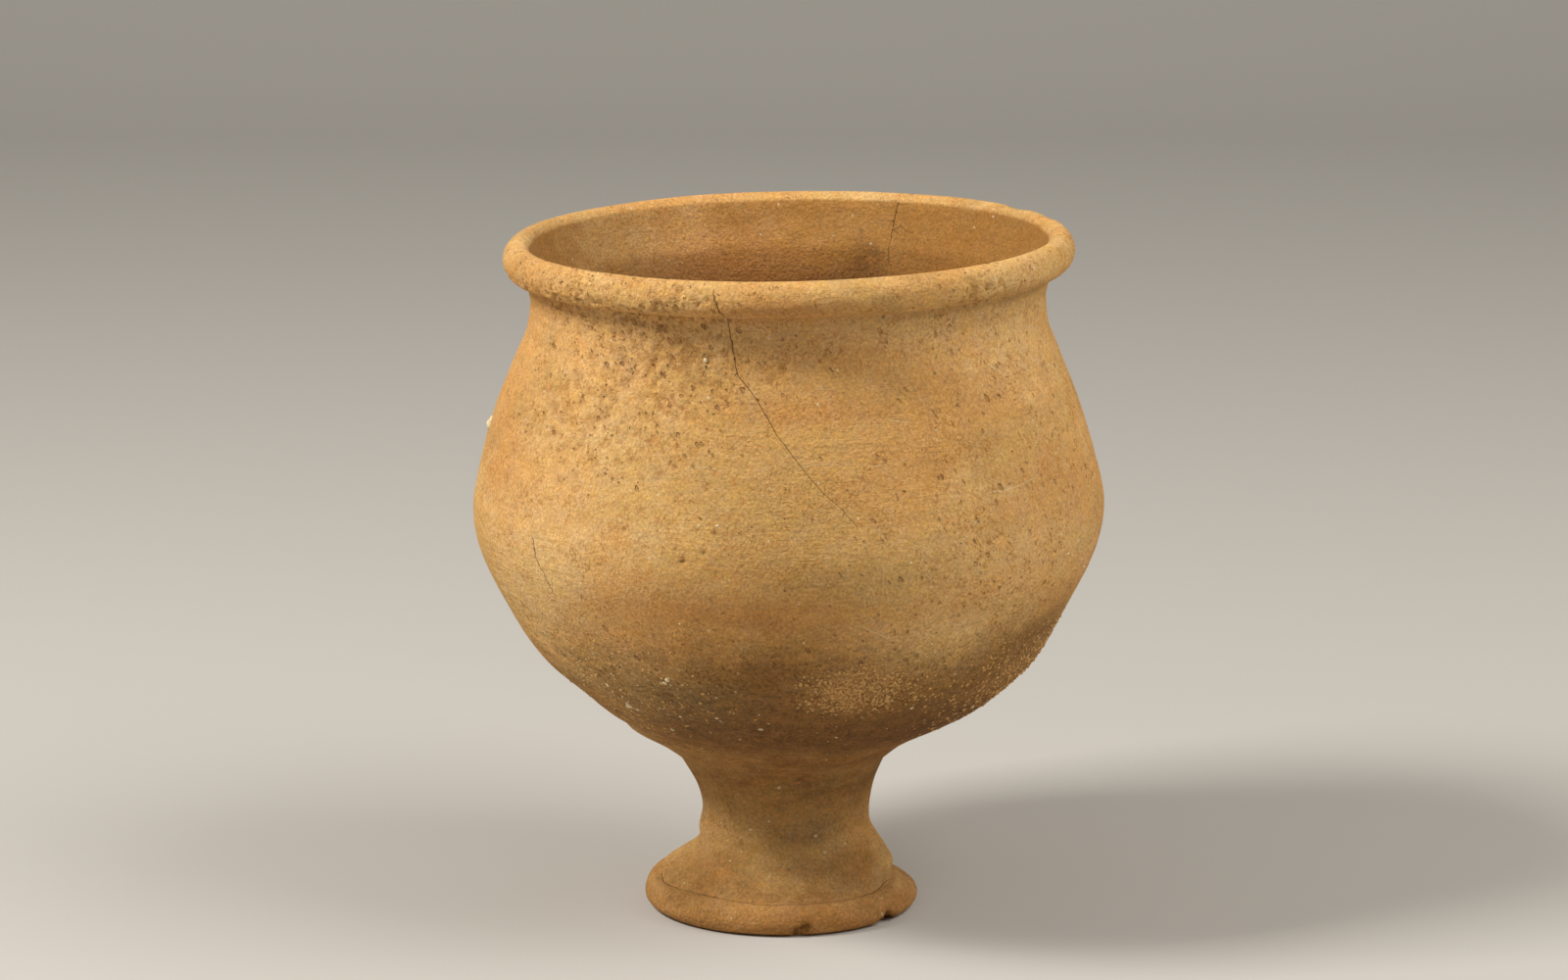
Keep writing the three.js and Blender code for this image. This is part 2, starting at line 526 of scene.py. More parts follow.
class GeometryTree(Graph):
    """A geometry node tree with named inputs, worn by one object until its shape is taken."""

    def __init__(self, name: str) -> None:
        """Starts a tree with a geometry coming in and one going out.

        Args:
            name: the tree's name.
        """
        super().__init__(bpy.data.node_groups.new(name, "GeometryNodeTree"))
        self.tree.interface.new_socket("Geometry", in_out="INPUT", socket_type="NodeSocketGeometry")
        self.tree.interface.new_socket("Geometry", in_out="OUTPUT", socket_type="NodeSocketGeometry")
        self.entry = self.tree.nodes.new("NodeGroupInput")
        self.exit = self.tree.nodes.new("NodeGroupOutput")
        self.values: dict[str, Any] = {}

    def given(self, name: str, value: Any, kind: str = "NodeSocketFloat") -> bpy.types.NodeSocket:
        """Adds a named input.

        Args:
            name: the input's name.
            value: what the modifier sets it to.
            kind: its socket type.

        Returns:
            The input's socket inside the tree.
        """
        socket = self.tree.interface.new_socket(name, in_out="INPUT", socket_type=kind)
        self.values[socket.identifier] = value
        return self.entry.outputs[name]

    def attribute(self, name: str) -> bpy.types.NodeSocket:
        """A named number that the corners carry."""
        return self.add("GeometryNodeInputNamedAttribute", {"Name": name}, data_type="FLOAT").outputs[0]

    def here(self) -> bpy.types.NodeSocket:
        """Where each corner is."""
        return self.add("GeometryNodeInputPosition").outputs[0]

    def push(self, geometry: Value, distance: Value) -> bpy.types.NodeSocket:
        """Moves the corners out along their normals.

        Args:
            geometry: what is moved.
            distance: how far each corner goes.

        Returns:
            The moved geometry.
        """
        offset = self.vector("SCALE", self.add("GeometryNodeInputNormal").outputs[0])
        self.feed(offset.node.inputs["Scale"], distance)
        return self.add("GeometryNodeSetPosition", {"Geometry": geometry, "Offset": offset}).outputs[0]

    def finish(self, geometry: Value, material: bpy.types.Material) -> None:
        """Ends the tree.

        Args:
            geometry: what the tree has made.
            material: what it is made of.
        """
        clay = self.given("Material", material, "NodeSocketMaterial")
        smooth = self.add("GeometryNodeSetShadeSmooth", {"Geometry": geometry, "Shade Smooth": True})
        real = self.add("GeometryNodeRealizeInstances", {"Geometry": smooth.outputs[0]}).outputs[0]
        dressed = self.add("GeometryNodeSetMaterial", {"Geometry": real, "Material": clay}).outputs[0]
        self.feed(self.exit.inputs[0], dressed)

    def make(self, source: bpy.types.Mesh, name: str) -> bpy.types.Object:
        """Runs the tree on a mesh and takes the result as a plain mesh.

        Args:
            source: the mesh that goes in.
            name: the name of the new object.

        Returns:
            The object, with no modifier left on it.
        """
        worker = bpy.data.objects.new(name + "_source", source)
        bpy.context.scene.collection.objects.link(worker)
        modifier = worker.modifiers.new(self.tree.name, "NODES")
        modifier.node_group = self.tree
        for identifier, value in self.values.items():
            modifier[identifier] = value
        depsgraph = bpy.context.evaluated_depsgraph_get()
        mesh = bpy.data.meshes.new_from_object(worker.evaluated_get(depsgraph))
        bpy.data.objects.remove(worker)
        mesh.name = name
        made = bpy.data.objects.new(name, mesh)
        bpy.context.scene.collection.objects.link(made)
        return made


@dataclass(frozen=True)
class Swelling:
    """A place where the foot swells or is worn away.

    Attributes:
        facing: its direction in degrees, from the front towards the right.
        height: its height as a share of the goblet's.
        across: how far it reaches to either side, in degrees.
        along: how far it reaches up and down, as a share of the goblet's height.
        out: how far it stands out, in metres, or below 0 how far it is worn in.
    """

    facing: float
    height: float
    across: float
    along: float
    out: float


@dataclass(frozen=True)
class HandMade:
    """How far the goblet strays from a true turned form.

    Attributes:
        axis: how far the axis has wandered sideways at shares of the height, in metres.
        belly_lean: how far the belly leans, in degrees.
        rim_lean: how far the rim leans, in degrees.
        squeeze: how far the rim was pressed out of round, in metres.
        squeeze_facing: which way it is wider, in degrees.
        swellings: where the foot swells or is worn away.
        bowl_full: the share of the height from which the bowl leans and is pressed in full.
        rim_from: the share of the height from which the rim has its way.
        belly_squeeze: how much of the rim's squeeze the belly has.
        ring_full: how far out the swellings are full, as a share of the dome's width.
    """

    axis: tuple = (
        (0.0, -1.5 * MM), (0.08, -1.6 * MM), (0.15, -0.5 * MM), (0.25, -1.3 * MM), (0.29, 0.3 * MM),
        (0.34, 1.0 * MM), (0.44, 0.0), (0.62, 0.0), (0.8, -0.35 * MM), (1.0, 0.0),
    )
    belly_lean: float = 0.55
    rim_lean: float = 1.3
    squeeze: float = 0.7 * MM
    squeeze_facing: float = 45.0
    swellings: tuple[Swelling, ...] = (
        Swelling(-90.0, 0.088, 40.0, 0.024, -2.4 * MM),
        Swelling(-95.0, 0.056, 36.0, 0.014, 1.4 * MM),
        Swelling(85.0, 0.09, 50.0, 0.03, 1.3 * MM),
        Swelling(112.0, 0.042, 42.0, 0.014, -3.2 * MM),
        Swelling(-90.0, 0.274, 40.0, 0.016, 2.6 * MM),
    )
    bowl_full: float = 0.42
    rim_from: float = 0.66
    belly_squeeze: float = 0.3
    ring_full: float = 1.1

    def turning_tree(self, section: Section, clay: bpy.types.Material) -> GeometryTree:
        """Writes the tree that turns the section on the wheel and lets it settle out of true.

        Args:
            section: the goblet's section.
            clay: what it is thrown from.

        Returns:
            The tree. The mesh that goes in holds turn, radius and height in its X, Y and Z.
        """
        tree = GeometryTree("Turned on the wheel")
        geometry = tree.entry.outputs[0]
        height = tree.given("Height", section.height)
        squeeze = tree.given("Squeeze", self.squeeze / section.at([section.bead_centre])[0][0])
        facing = tree.given("Squeeze Facing", math.radians(self.squeeze_facing))
        belly_lean = tree.given("Belly Lean", math.radians(self.belly_lean))
        rim_lean = tree.given("Rim Lean", math.radians(self.rim_lean))
        edge = tree.given("Foot Hollow", section.at([section.foot_hollow])[0][0])

        angle, radius, up = tree.split(tree.here())
        share = tree.math("MINIMUM", tree.math("DIVIDE", up, height), 1.0)
        bowl = tree.ease(share, section.join[1], self.bowl_full)
        rim = tree.ease(share, self.rim_from, 1.0)
        twice = tree.times(tree.minus(angle, facing), 2.0)
        stretch = tree.times(squeeze, tree.scaled(rim, 1.0 - self.belly_squeeze, self.belly_squeeze))
        oval = tree.times(tree.times(stretch, tree.math("COSINE", twice)), bowl)
        outside = tree.ease(radius, edge, tree.times(edge, self.ring_full))
        swelling = tree.times(tree.total(self._bumps(tree, angle, share)), outside)
        grown = tree.scaled(radius, tree.math("ADD", oval, 1.0), swelling)
        more = tree.minus(rim_lean, belly_lean)
        lean = tree.math("TANGENT", tree.scaled(more, rim, belly_lean))
        sine, cosine = tree.math("SINE", angle), tree.math("COSINE", angle)
        sideways = tree.times(radius, sine)
        rise = tree.times(tree.times(sideways, lean), bowl)
        x = tree.scaled(grown, sine, self._axis_shift(tree, share))
        y = tree.times(grown, tree.times(cosine, -1.0))
        place = tree.combine(x, y, tree.math("ADD", up, rise))
        moved = tree.add("GeometryNodeSetPosition", {"Geometry": geometry, "Position": place}).outputs[0]
        tree.finish(moved, clay)
        return tree

    def _axis_shift(self, tree: GeometryTree, share: Value) -> Value:
        """Writes how far the axis has wandered sideways.

        Args:
            tree: the tree to write it in.
            share: the share of the height.

        Returns:
            The distance, in metres.
        """
        steps = [self.axis[0][1]]
        for (low, before), (high, after) in zip(self.axis, self.axis[1:]):
            if before != after:
                steps.append(tree.ease(share, low, high, 0.0, after - before))
        return tree.total(steps)

    def _bumps(self, tree: GeometryTree, angle: Value, share: Value) -> list[Value]:
        """Writes how far each swelling pushes the foot out.

        Args:
            tree: the tree to write it in.
            angle: the direction, in radians.
            share: the share of the height.

        Returns:
            The distances, in metres.
        """
        bumps = []
        for lump in self.swellings:
            turned = tree.minus(angle, math.radians(lump.facing))
            turned = tree.math("WRAP", turned, math.pi, -math.pi)
            across = tree.math("DIVIDE", turned, math.radians(lump.across))
            along = tree.math("DIVIDE", tree.minus(share, lump.height), lump.along)
            spread = tree.scaled(across, across, tree.times(along, along))
            fall = tree.math("EXPONENT", tree.times(spread, -1.0))
            bumps.append(tree.times(fall, lump.out))
        return bumps


class Skin(Enum):
    """Which face of the wall a mark is on."""

    OUTSIDE = "outside"
    INSIDE = "inside"


class Trace(Enum):
    """What wear leaves behind for the finish to read, and where painted light and shade go, each as one
    number a corner.
    """

    PITTED = "pitted"
    PIT_SHADE = "hollow"
    CRUST = "crust"
    ASH = "ash"
    SOOT_AND_SHADE = "soot_and_shade"
    RUST = "rust"
    INSIDE = "inside"
    DULL = "dull"
    PALE = "pale"
    DIRT_AND_SHADE = "dirt_and_shade"
    CRACK_AND_SHADE_SIDE = "crack_and_shade_side"
    CRACK_AND_SHADE_FORCE = "crack_and_shade_force"
    SCUFF_SIDE = "scuff_side"
    SCUFF_FORCE = "scuff_force"


@dataclass
class Surface:
    """The goblet's skin while it is being worn, in millimetres.

    Attributes:
        places: the corners.
        normals: the direction out of the clay at each corner.
        zones: the zone of each corner.
        areas: how much skin each corner stands for.
        level: how far from upright the skin has to be for a level direction of its own.
    """

    places: np.ndarray
    normals: np.ndarray
    zones: np.ndarray
    areas: np.ndarray
    level: float = 0.05

    def __post_init__(self) -> None:
        """Prepares the lookups and the empty traces."""
        count = len(self.places)
        self.lift = np.zeros(count)
        self.traces = {trace: np.zeros(count) for trace in Trace}
        self.facing = np.degrees(np.arctan2(self.places[:, 0], -self.places[:, 1]))
        self.radius = np.hypot(self.places[:, 0], self.places[:, 1])
        self.height = self.places[:, 2]
        self.tree = KDTree(count)
        for index, place in enumerate(self.places):
            self.tree.insert(place, index)
        self.tree.balance()

    def is_on(self, skin: Skin) -> np.ndarray:
        """Which corners are on a face of the wall."""
        inside = self.zones == Zone.INSIDE
        return inside if skin is Skin.INSIDE else ~inside & (self.zones != Zone.UNDER_FOOT)

    def sideways(self, facing: float) -> np.ndarray:
        """How far round the skin each corner is from a direction."""
        return np.radians(turn_between(facing, self.facing)) * self.radius

    def find(self, facing: float, height: float, skin: Skin = Skin.OUTSIDE) -> int:
        """The corner nearest to a place on the goblet.

        Args:
            facing: the direction in degrees, from the front towards the right.
            height: the height.
            skin: which face of the wall.

        Returns:
            The corner's number.
        """
        distance = self.sideways(facing) ** 2 + (self.height - height) ** 2
        return int(np.argmin(np.where(self.is_on(skin), distance, np.inf)))

    def near(self, place: np.ndarray, reach: float) -> np.ndarray:
        """The corners within a reach of a place."""
        return np.array([index for _, index, _ in self.tree.find_range(place, reach)], dtype=int)

    def lie_at(self, corner: int, slant: float) -> tuple[np.ndarray, np.ndarray]:
        """The directions along and across a slant on the skin.

        Args:
            corner: the corner to stand on.
            slant: the slant in radians, from level and up towards the right.

        Returns:
            The direction along the slant, and the one across it.
        """
        normal = self.normals[corner]
        level = np.cross((0.0, 0.0, 1.0), normal)
        size = np.linalg.norm(level)
        level = level / size if size > self.level else np.array((1.0, 0.0, 0.0))
        upright = np.cross(normal, level)
        along = level * math.cos(slant) + upright * math.sin(slant)
        return along, np.cross(normal, along)

    def spot(self, facing: float, height: float, across: float, along: float,
             skin: Skin = Skin.OUTSIDE) -> np.ndarray:
        """A soft spot on one face of the wall.

        Args:
            facing: the direction of its middle, in degrees.
            height: the height of its middle.
            across: its half width.
            along: its half height.
            skin: which face of the wall.

        Returns:
            Its strength at every corner, from 1 in the middle to 0.
        """
        spread = (self.sideways(facing) / across) ** 2 + ((self.height - height) / along) ** 2
        return np.where(self.is_on(skin), np.exp(-spread), 0.0)

    def strew(self, spot: np.ndarray, faint: float, count: int, draw: np.random.Generator) -> np.ndarray:
        """Draws corners at random in a soft spot.

        Args:
            spot: how likely each corner is, for its share of the skin.
            faint: the strength below which the spot is empty.
            count: how many corners to draw.
            draw: where chance comes from.

        Returns:
            The corners' numbers.
        """
        weight = np.where(spot > faint, spot, 0.0) * self.areas
        return draw.choice(len(weight), count, p=weight / weight.sum())

    def leave(self, trace: Trace, corners: np.ndarray, strength: np.ndarray) -> None:
        """Strengthens a trace at some corners."""
        self.traces[trace][corners] = np.maximum(self.traces[trace][corners], strength)


def lumpiness(places: np.ndarray, size: float, octaves: int = 3, fall: float = 1.0,
              finer: float = 2.0) -> np.ndarray:
    """Lumpy noise at some places.

    Args:
        places: where to read it.
        size: how wide its lumps are.
        octaves: how many finer layers it has.
        fall: how fast the finer layers get weaker.
        finer: how many times finer each layer is than the one before.

    Returns:
        The noise at each place, about from -1 to 1.
    """
    return np.array([noise.fractal(Vector(place), fall, finer, octaves) for place in places / size])


@dataclass(frozen=True)
class Stroke:
    """A crack, a cut, a scratch or a low ridge along a path on the skin.

    Attributes:
        path: its places, as directions in degrees and heights.
        width: its half width.
        depth: how deep it is, or below 0 how high.
        ends: how much of its strength it has at its start and at its end.
        side: where it leaves how far each corner is to its side.
        force: where it leaves its strength, or None if the finish doesn't show it.
        skin: which face of the wall it is on.
        reach: how far from it the skin is touched.
        clear: how far from it its strength starts to fade, and where it is gone.
        steps: how many points to draw between two places of the path.
    """

    path: tuple[tuple[float, float], ...]
    width: float
    depth: float
    ends: tuple[float, float] = (1.0, 1.0)
    side: Trace = Trace.CRACK_AND_SHADE_SIDE
    force: Trace | None = Trace.CRACK_AND_SHADE_FORCE
    skin: Skin = Skin.OUTSIDE
    reach: float = 3.0
    clear: tuple[float, float] = (0.9, 1.7)
    steps: int = 12

    def mark(self, surface: Surface) -> None:
        """Draws the stroke on a surface.

        Args:
            surface: the surface.
        """
        corners = [surface.find(*place, self.skin) for place in self.path]
        line = smooth_curve(surface.places[corners], self.steps)
        around = np.unique(np.concatenate([surface.near(point, self.reach) for point in line]))
        around = around[surface.is_on(self.skin)[around]]
        start, step = line[:-1], np.diff(line, axis=0)
        offset = surface.places[around][:, None, :] - start
        size = (step**2).sum(axis=1)
        share = np.clip((offset * step).sum(axis=2) / size, 0.0, 1.0)
        away = offset - share[:, :, None] * step
        distance = np.linalg.norm(away, axis=2)
        nearest = np.argmin(distance, axis=1)
        rows = np.arange(len(around))
        distance, away = distance[rows, nearest], away[rows, nearest]
        rightwards = np.cross(step[nearest], surface.normals[around])
        signed = distance * np.where((away * rightwards).sum(axis=1) < 0.0, -1.0, 1.0)
        travelled = (nearest + share[rows, nearest]) / len(step)
        strength = self.ends[0] + (self.ends[1] - self.ends[0]) * travelled
        shape = np.clip(1.0 - distance / self.width, 0.0, 1.0)
        if self.depth < 0.0:
            shape = np.exp(-((distance / self.width) ** 2))
        surface.lift[around] -= self.depth * strength * shape
        if self.force is None:
            return
        strength = strength * (1.0 - smoothstep(*self.clear, distance))
        stronger = strength > surface.traces[self.force][around]
        surface.traces[self.force][around[stronger]] = strength[stronger]
        surface.traces[self.side][around[stronger]] = signed[stronger]


@dataclass(frozen=True)
class Scratch(Stroke):
    """A shallow scratch that has left the clay paler.

    Attributes:
        side: where it leaves how far each corner is to its side.
        force: where it leaves its strength.
    """

    side: Trace = Trace.SCUFF_SIDE
    force: Trace = Trace.SCUFF_FORCE


@dataclass(frozen=True)
class Fold(Stroke):
    """A groove or a low ridge that is shaped but not coloured.

    Attributes:
        force: None, because the finish doesn't show it.
    """

    force: Trace | None = None


@dataclass(frozen=True)
class Chip:
    """Clay broken off an edge, as the space of the stone-shaped lump that is missing.

    Attributes:
        facing: the lump's direction in degrees.
        radius: how far its middle is from the axis.
        height: the height of its middle.
        size: its half sizes across, out and up.
        turn: how far it is turned about the direction outwards, in degrees.
        centre: how far the axis has wandered there.
        uneven: how rough the break is.
        grain: how wide the lumps of the break are.
        reach: how far from its middle the skin is touched, as a share of its largest half size.
        deepest: how deep the skin may sink at most, as such a share.
        pitted: how pitted the break is.
    """

    facing: float
    radius: float
    height: float
    size: tuple[float, float, float]
    turn: float = 0.0
    centre: float = -1.5
    uneven: float = 0.35
    grain: float = 1.6
    reach: float = 1.6
    deepest: float = 2.2
    pitted: float = 0.5

    def break_off(self, surface: Surface) -> None:
        """Sinks the skin to the inner side of the missing lump.

        Args:
            surface: the surface.
        """
        angle, turn = math.radians(self.facing), math.radians(self.turn)
        out = np.array((math.sin(angle), -math.cos(angle), 0.0))
        across = np.array((math.cos(angle), math.sin(angle), 0.0))
        up = np.array((0.0, 0.0, 1.0))
        middle = out * self.radius + np.array((self.centre, 0.0, self.height))
        axes = np.stack([across * math.cos(turn) - up * math.sin(turn), out,
                         across * math.sin(turn) + up * math.cos(turn)])
        around = surface.near(middle, self.reach * max(self.size))
        rough = 1.0 + self.uneven * lumpiness(surface.places[around], self.grain)
        offset = (surface.places[around] - middle) @ axes.T / self.size / rough[:, None]
        inward = -surface.normals[around] @ axes.T / self.size / rough[:, None]
        square = (inward**2).sum(axis=1)
        along = (offset * inward).sum(axis=1)
        rest = along**2 - square * ((offset**2).sum(axis=1) - 1.0)
        inside = ((offset**2).sum(axis=1) < 1.0) & (rest > 0.0)
        chord = np.where(inside, (-along + np.sqrt(np.maximum(rest, 0.0))) / square, 0.0)
        surface.lift[around] -= np.clip(chord, 0.0, self.deepest * max(self.size))
        surface.leave(Trace.PITTED, around, np.where(inside, self.pitted, 0.0))


@dataclass(frozen=True)
class Pit:
    """One hole where a grain fell out of the clay.

    Attributes:
        facing: its direction in degrees.
        height: its height.
        size: its half width.
        stretch: how many times longer than wide it is.
        slant: how it lies, in degrees from level and up towards the right.
        deep: how deep it is, as a share of its half width.
        sides: where its side starts and where it ends, as such shares.
        reach: how far the skin is touched, as a share of its half length.
    """

    facing: float
    height: float
    size: float
    stretch: float = 1.3
    slant: float = 50.0
    deep: float = 1.25
    sides: tuple[float, float] = (0.45, 1.1)
    reach: float = 1.3

    def sink(self, surface: Surface, corner: int) -> None:
        """Sinks the pit into a surface.

        Args:
            surface: the surface.
            corner: the corner that is its middle.
        """
        along, across = surface.lie_at(corner, math.radians(self.slant))
        around = surface.near(surface.places[corner], self.reach * self.size * self.stretch)
        offset = surface.places[around] - surface.places[corner]
        spread = np.hypot(offset @ along / (self.size * self.stretch), offset @ across / self.size)
        shape = 1.0 - smoothstep(*self.sides, spread)
        surface.lift[around] = np.minimum(surface.lift[around], -self.deep * self.size * shape)
        # The pit's shape is kept for the painted shade on its floor.
        surface.leave(Trace.PIT_SHADE, around, shape)


@dataclass(frozen=True)
class Pitting:
    """Pits over a patch of the skin.

    Attributes:
        facing: the direction of the patch's middle, in degrees.
        height: the height of its middle.
        across: its half width.
        along: its half height.
        count: how many pits it has.
        sizes: the half widths of its smallest and its largest pits.
        slant: how the pits lie, in degrees from level and up towards the right.
        scatter: how much their slants differ, in degrees.
        faint: the strength at the patch's edge, where the pits end.
        crowd: how much more common small pits are than large ones.
        longest: how many times longer than wide a pit may be, on top of round.
    """

    facing: float
    height: float
    across: float
    along: float
    count: int
    sizes: tuple[float, float] = (0.28, 0.75)
    slant: float = 50.0
    scatter: float = 15.0
    faint: float = 0.05
    crowd: float = 2.4
    longest: float = 1.1

    def mark(self, surface: Surface, draw: np.random.Generator) -> None:
        """Sinks the pits into a surface.

        Args:
            surface: the surface.
            draw: where the pits' places and sizes come from.
        """
        spot = surface.spot(self.facing, self.height, self.across, self.along)
        small, large = self.sizes
        for corner in surface.strew(spot, self.faint, self.count, draw):
            size = small + (large - small) * draw.random() ** self.crowd
            stretch = 1.0 + draw.random() * self.longest
            slant = self.slant + draw.normal(0.0, self.scatter)
            Pit(self.facing, self.height, size, stretch, slant).sink(surface, corner)


@dataclass(frozen=True)
class Stain:
    """A soft-edged patch that the finish colours, raised and crumbly where it is a crust.

    Attributes:
        trace: what it is.
        facing: the direction of its middle, in degrees.
        height: the height of its middle.
        across: its half width.
        along: its half height.
        strength: how strong it is in its middle.
        raised: how high its crust stands.
        skin: which face of the wall it is on.
        faint: the strength at the crust's edge.
        edge: the strengths between which the crust rises.
        ragged: how uneven its edge is.
        crumb: how wide its crumbs are.
        clump: how wide its clumps are.
        relief: how high its crumbs stand on the whole, and how much they differ.
    """

    trace: Trace
    facing: float
    height: float
    across: float
    along: float
    strength: float = 1.0
    raised: float = 0.0
    skin: Skin = Skin.OUTSIDE
    faint: float = 0.04
    edge: tuple[float, float] = (0.15, 0.6)
    ragged: float = 0.25
    crumb: float = 1.6
    clump: float = 6.0
    relief: tuple[float, float] = (0.4, 0.9)

    def mark(self, surface: Surface) -> None:
        """Lays the patch on a surface.

        Args:
            surface: the surface.
        """
        spot = surface.spot(self.facing, self.height, self.across, self.along, self.skin) * self.strength
        surface.traces[self.trace] = np.minimum(surface.traces[self.trace] + spot, 1.0)
        if self.raised > 0.0:
            around = np.nonzero(spot > self.faint)[0]
            crumbs = lumpiness(surface.places[around], self.crumb, octaves=4)
            clumps = lumpiness(surface.places[around], self.clump, octaves=2)
            share = smoothstep(*self.edge, spot[around] + self.ragged * clumps)
            level, rough = self.relief
            surface.lift[around] += self.raised * share * (level + rough * crumbs)


def alike(trace: Trace, spots: Iterable[tuple[float, ...]], skin: Skin = Skin.OUTSIDE) -> list[Stain]:
    """Stains of one kind.

    Args:
        trace: what they are.
        spots: where each is and how strong, in the order of a stain's attributes.
        skin: which face of the wall they are on.

    Returns:
        The stains.
    """
    return [Stain(trace, *spot, skin=skin) for spot in spots]


@dataclass(frozen=True)
class Wear:
    """Everything that age has done to the goblet, in degrees and millimetres.

    Attributes:
        strokes: its cracks, scratches, grooves and folds, and the painted shade in the foot's crease.
        chips: what has broken off its edges.
        pits: its larger pits, one by one.
        patches: where small pits are strewn.
        stains: what has coloured it and what clings to it, painted light and shade among them.
    """

    strokes: tuple[Stroke, ...] = (
        Stroke(((-15.1, 143.3), (-14.6, 141.8), (-14.0, 139.8), (-13.3, 137.6)), 0.42, 0.7, (0.8, 0.8)),
        Stroke(((-13.1, 137.2), (-12.4, 134.8), (-12.1, 131.6), (-11.5, 128.1), (-10.4, 125.0),
                (-8.6, 122.7), (-5.2, 118.7), (-1.8, 113.7), (0.6, 110.6), (2.8, 107.6), (6.4, 102.8),
                (9.3, 99.5), (12.0, 96.2)), 0.4, 0.2, (0.66, 0.34)),
        Stroke(((153.3, 143.8), (153.8, 139.6), (153.8, 135.5), (153.1, 132.0), (151.5, 126.0)), 0.6, 0.3,
               (0.7, 0.2), skin=Skin.INSIDE),
        Stroke(((153.8, 139.6), (150.2, 138.2), (146.8, 137.2)), 0.5, 0.2, (0.5, 0.15), skin=Skin.INSIDE),
        Stroke(((-52.0, 87.6), (-51.4, 85.5), (-50.9, 83.9), (-49.6, 81.6), (-48.4, 78.4)), 0.5, 0.45,
               (0.75, 0.5)),
        Scratch(((-18.0, 107.2), (-8.1, 107.7), (-0.9, 107.9)), 0.5, 0.04, (0.42, 0.2)),
        Scratch(((2.0, 107.7), (6.4, 107.9), (17.5, 107.6)), 0.5, 0.04, (0.5, 0.3)),
        Scratch(((39.3, 100.0), (45.3, 100.6), (52.6, 100.9)), 0.6, 0.1, (0.9, 0.5)),
        Scratch(((20.0, 116.0), (26.0, 115.4)), 0.5, 0.05, (0.8, 0.2)),
        Scratch(((48.0, 124.0), (50.0, 121.6)), 0.6, 0.1, (1.0, 0.6)),
        Scratch(((60.5, 119.5), (62.5, 116.0)), 0.6, 0.1, (1.0, 0.6)),
        Scratch(((14.0, 74.4), (19.0, 72.4), (22.0, 71.9)), 0.5, 0.08, (0.8, 0.3)),
        Fold(((66.2, 131.8), (67.3, 126.5), (64.3, 121.0), (62.8, 116.3)), 1.8, -0.45),
        # The foot's step: a groove drawn dark in the crack colour, as painted shade in the crease.
        Stroke(((-95.0, 6.7), (-70.0, 6.6), (-40.0, 6.7), (-10.0, 6.6), (20.0, 6.7), (45.0, 6.6),
                (70.0, 6.8)), 1.3, 0.6, (0.45, 0.55), clear=(0.9, 1.6)),
        Fold(((-88.0, 137.6), (-70.0, 137.8), (-45.0, 137.8), (-18.0, 137.8)), 0.8, 0.35),
        Fold(((22.0, 137.8), (45.0, 137.8), (70.0, 137.8), (88.0, 137.8)), 0.8, 0.25),
    )
    chips: tuple[Chip, ...] = (
        Chip(52.0, 27.8, 0.3, (3.2, 2.4, 2.1), 20.0),
        Chip(-82.0, 28.4, 9.6, (3.2, 5.2, 2.6), -35.0),
        Chip(-104.0, 26.0, 11.6, (4.0, 3.4, 1.6), -20.0),
        Chip(6.5, 28.6, 0.9, (1.8, 1.5, 1.4), 10.0, uneven=0.6),
        Chip(10.0, 28.6, 1.8, (1.3, 1.3, 1.0), -15.0, uneven=0.6),
        Chip(120.5, 58.2, 147.0, (8.0, 5.0, 2.0), 2.0, 0.0, 0.15, 2.8),
        Chip(107.0, 58.6, 147.1, (8.0, 5.0, 1.8), -2.0, 0.0, 0.15, 2.8),
        Chip(37.0, 60.7, 142.5, (1.5, 1.1, 1.3), 20.0, 0.0, 0.6),
        Chip(41.5, 60.6, 141.2, (1.3, 1.0, 1.0), 50.0, 0.0, 0.6),
    )
    pits: tuple[Pit, ...] = (
        Pit(-38.9, 125.2, 1.0, 2.2, 40.0), Pit(-30.5, 126.1, 0.8, 2.6, 95.0),
        Pit(-45.6, 119.2, 0.6, 2.0, 60.0), Pit(-50.9, 114.3, 0.8, 1.8, 65.0),
        Pit(-33.0, 112.8, 1.0, 1.3, 20.0, 0.6), Pit(-24.8, 130.3, 0.8, 2.4, 40.0),
        Pit(-65.1, 98.2, 1.1, 1.4, 80.0, 0.35), Pit(-55.6, 99.7, 0.5, 1.6, 70.0),
        Pit(-52.3, 100.3, 0.45, 2.0, 10.0), Pit(-48.1, 101.3, 0.45, 1.8, 60.0),
        Pit(-54.3, 92.0, 0.5, 2.2, 70.0), Pit(-30.2, 97.8, 0.5, 1.2, 0.0),
        Pit(-19.9, 91.2, 0.45, 1.4, 30.0), Pit(-18.8, 88.7, 0.7, 1.3, 70.0),
        Pit(-14.9, 91.0, 0.5, 1.1, 0.0), Pit(-30.5, 93.6, 0.5, 1.8, 10.0),
        Pit(-13.0, 95.0, 0.5, 1.2, 0.0),
    )
    patches: tuple[Pitting, ...] = (
        Pitting(-40.0, 121.0, 24.0, 14.0, 260, (0.3, 0.66), 55.0),
        Pitting(-38.0, 125.0, 6.0, 4.0, 50, (0.34, 0.85), 50.0),
        Pitting(-24.0, 128.0, 8.0, 4.0, 70, (0.32, 0.8), 45.0),
        Pitting(-49.0, 113.0, 8.0, 5.0, 60, (0.32, 0.8), 55.0),
        Pitting(-46.0, 140.0, 24.0, 5.0, 170, (0.3, 0.66), 65.0),
        Pitting(-24.0, 138.5, 12.0, 3.5, 50, (0.26, 0.5), 60.0),
        Pitting(40.0, 141.5, 6.0, 3.5, 30, (0.35, 0.8), 60.0),
        Pitting(74.0, 142.0, 5.0, 3.0, 14, (0.35, 0.7), 60.0),
    )
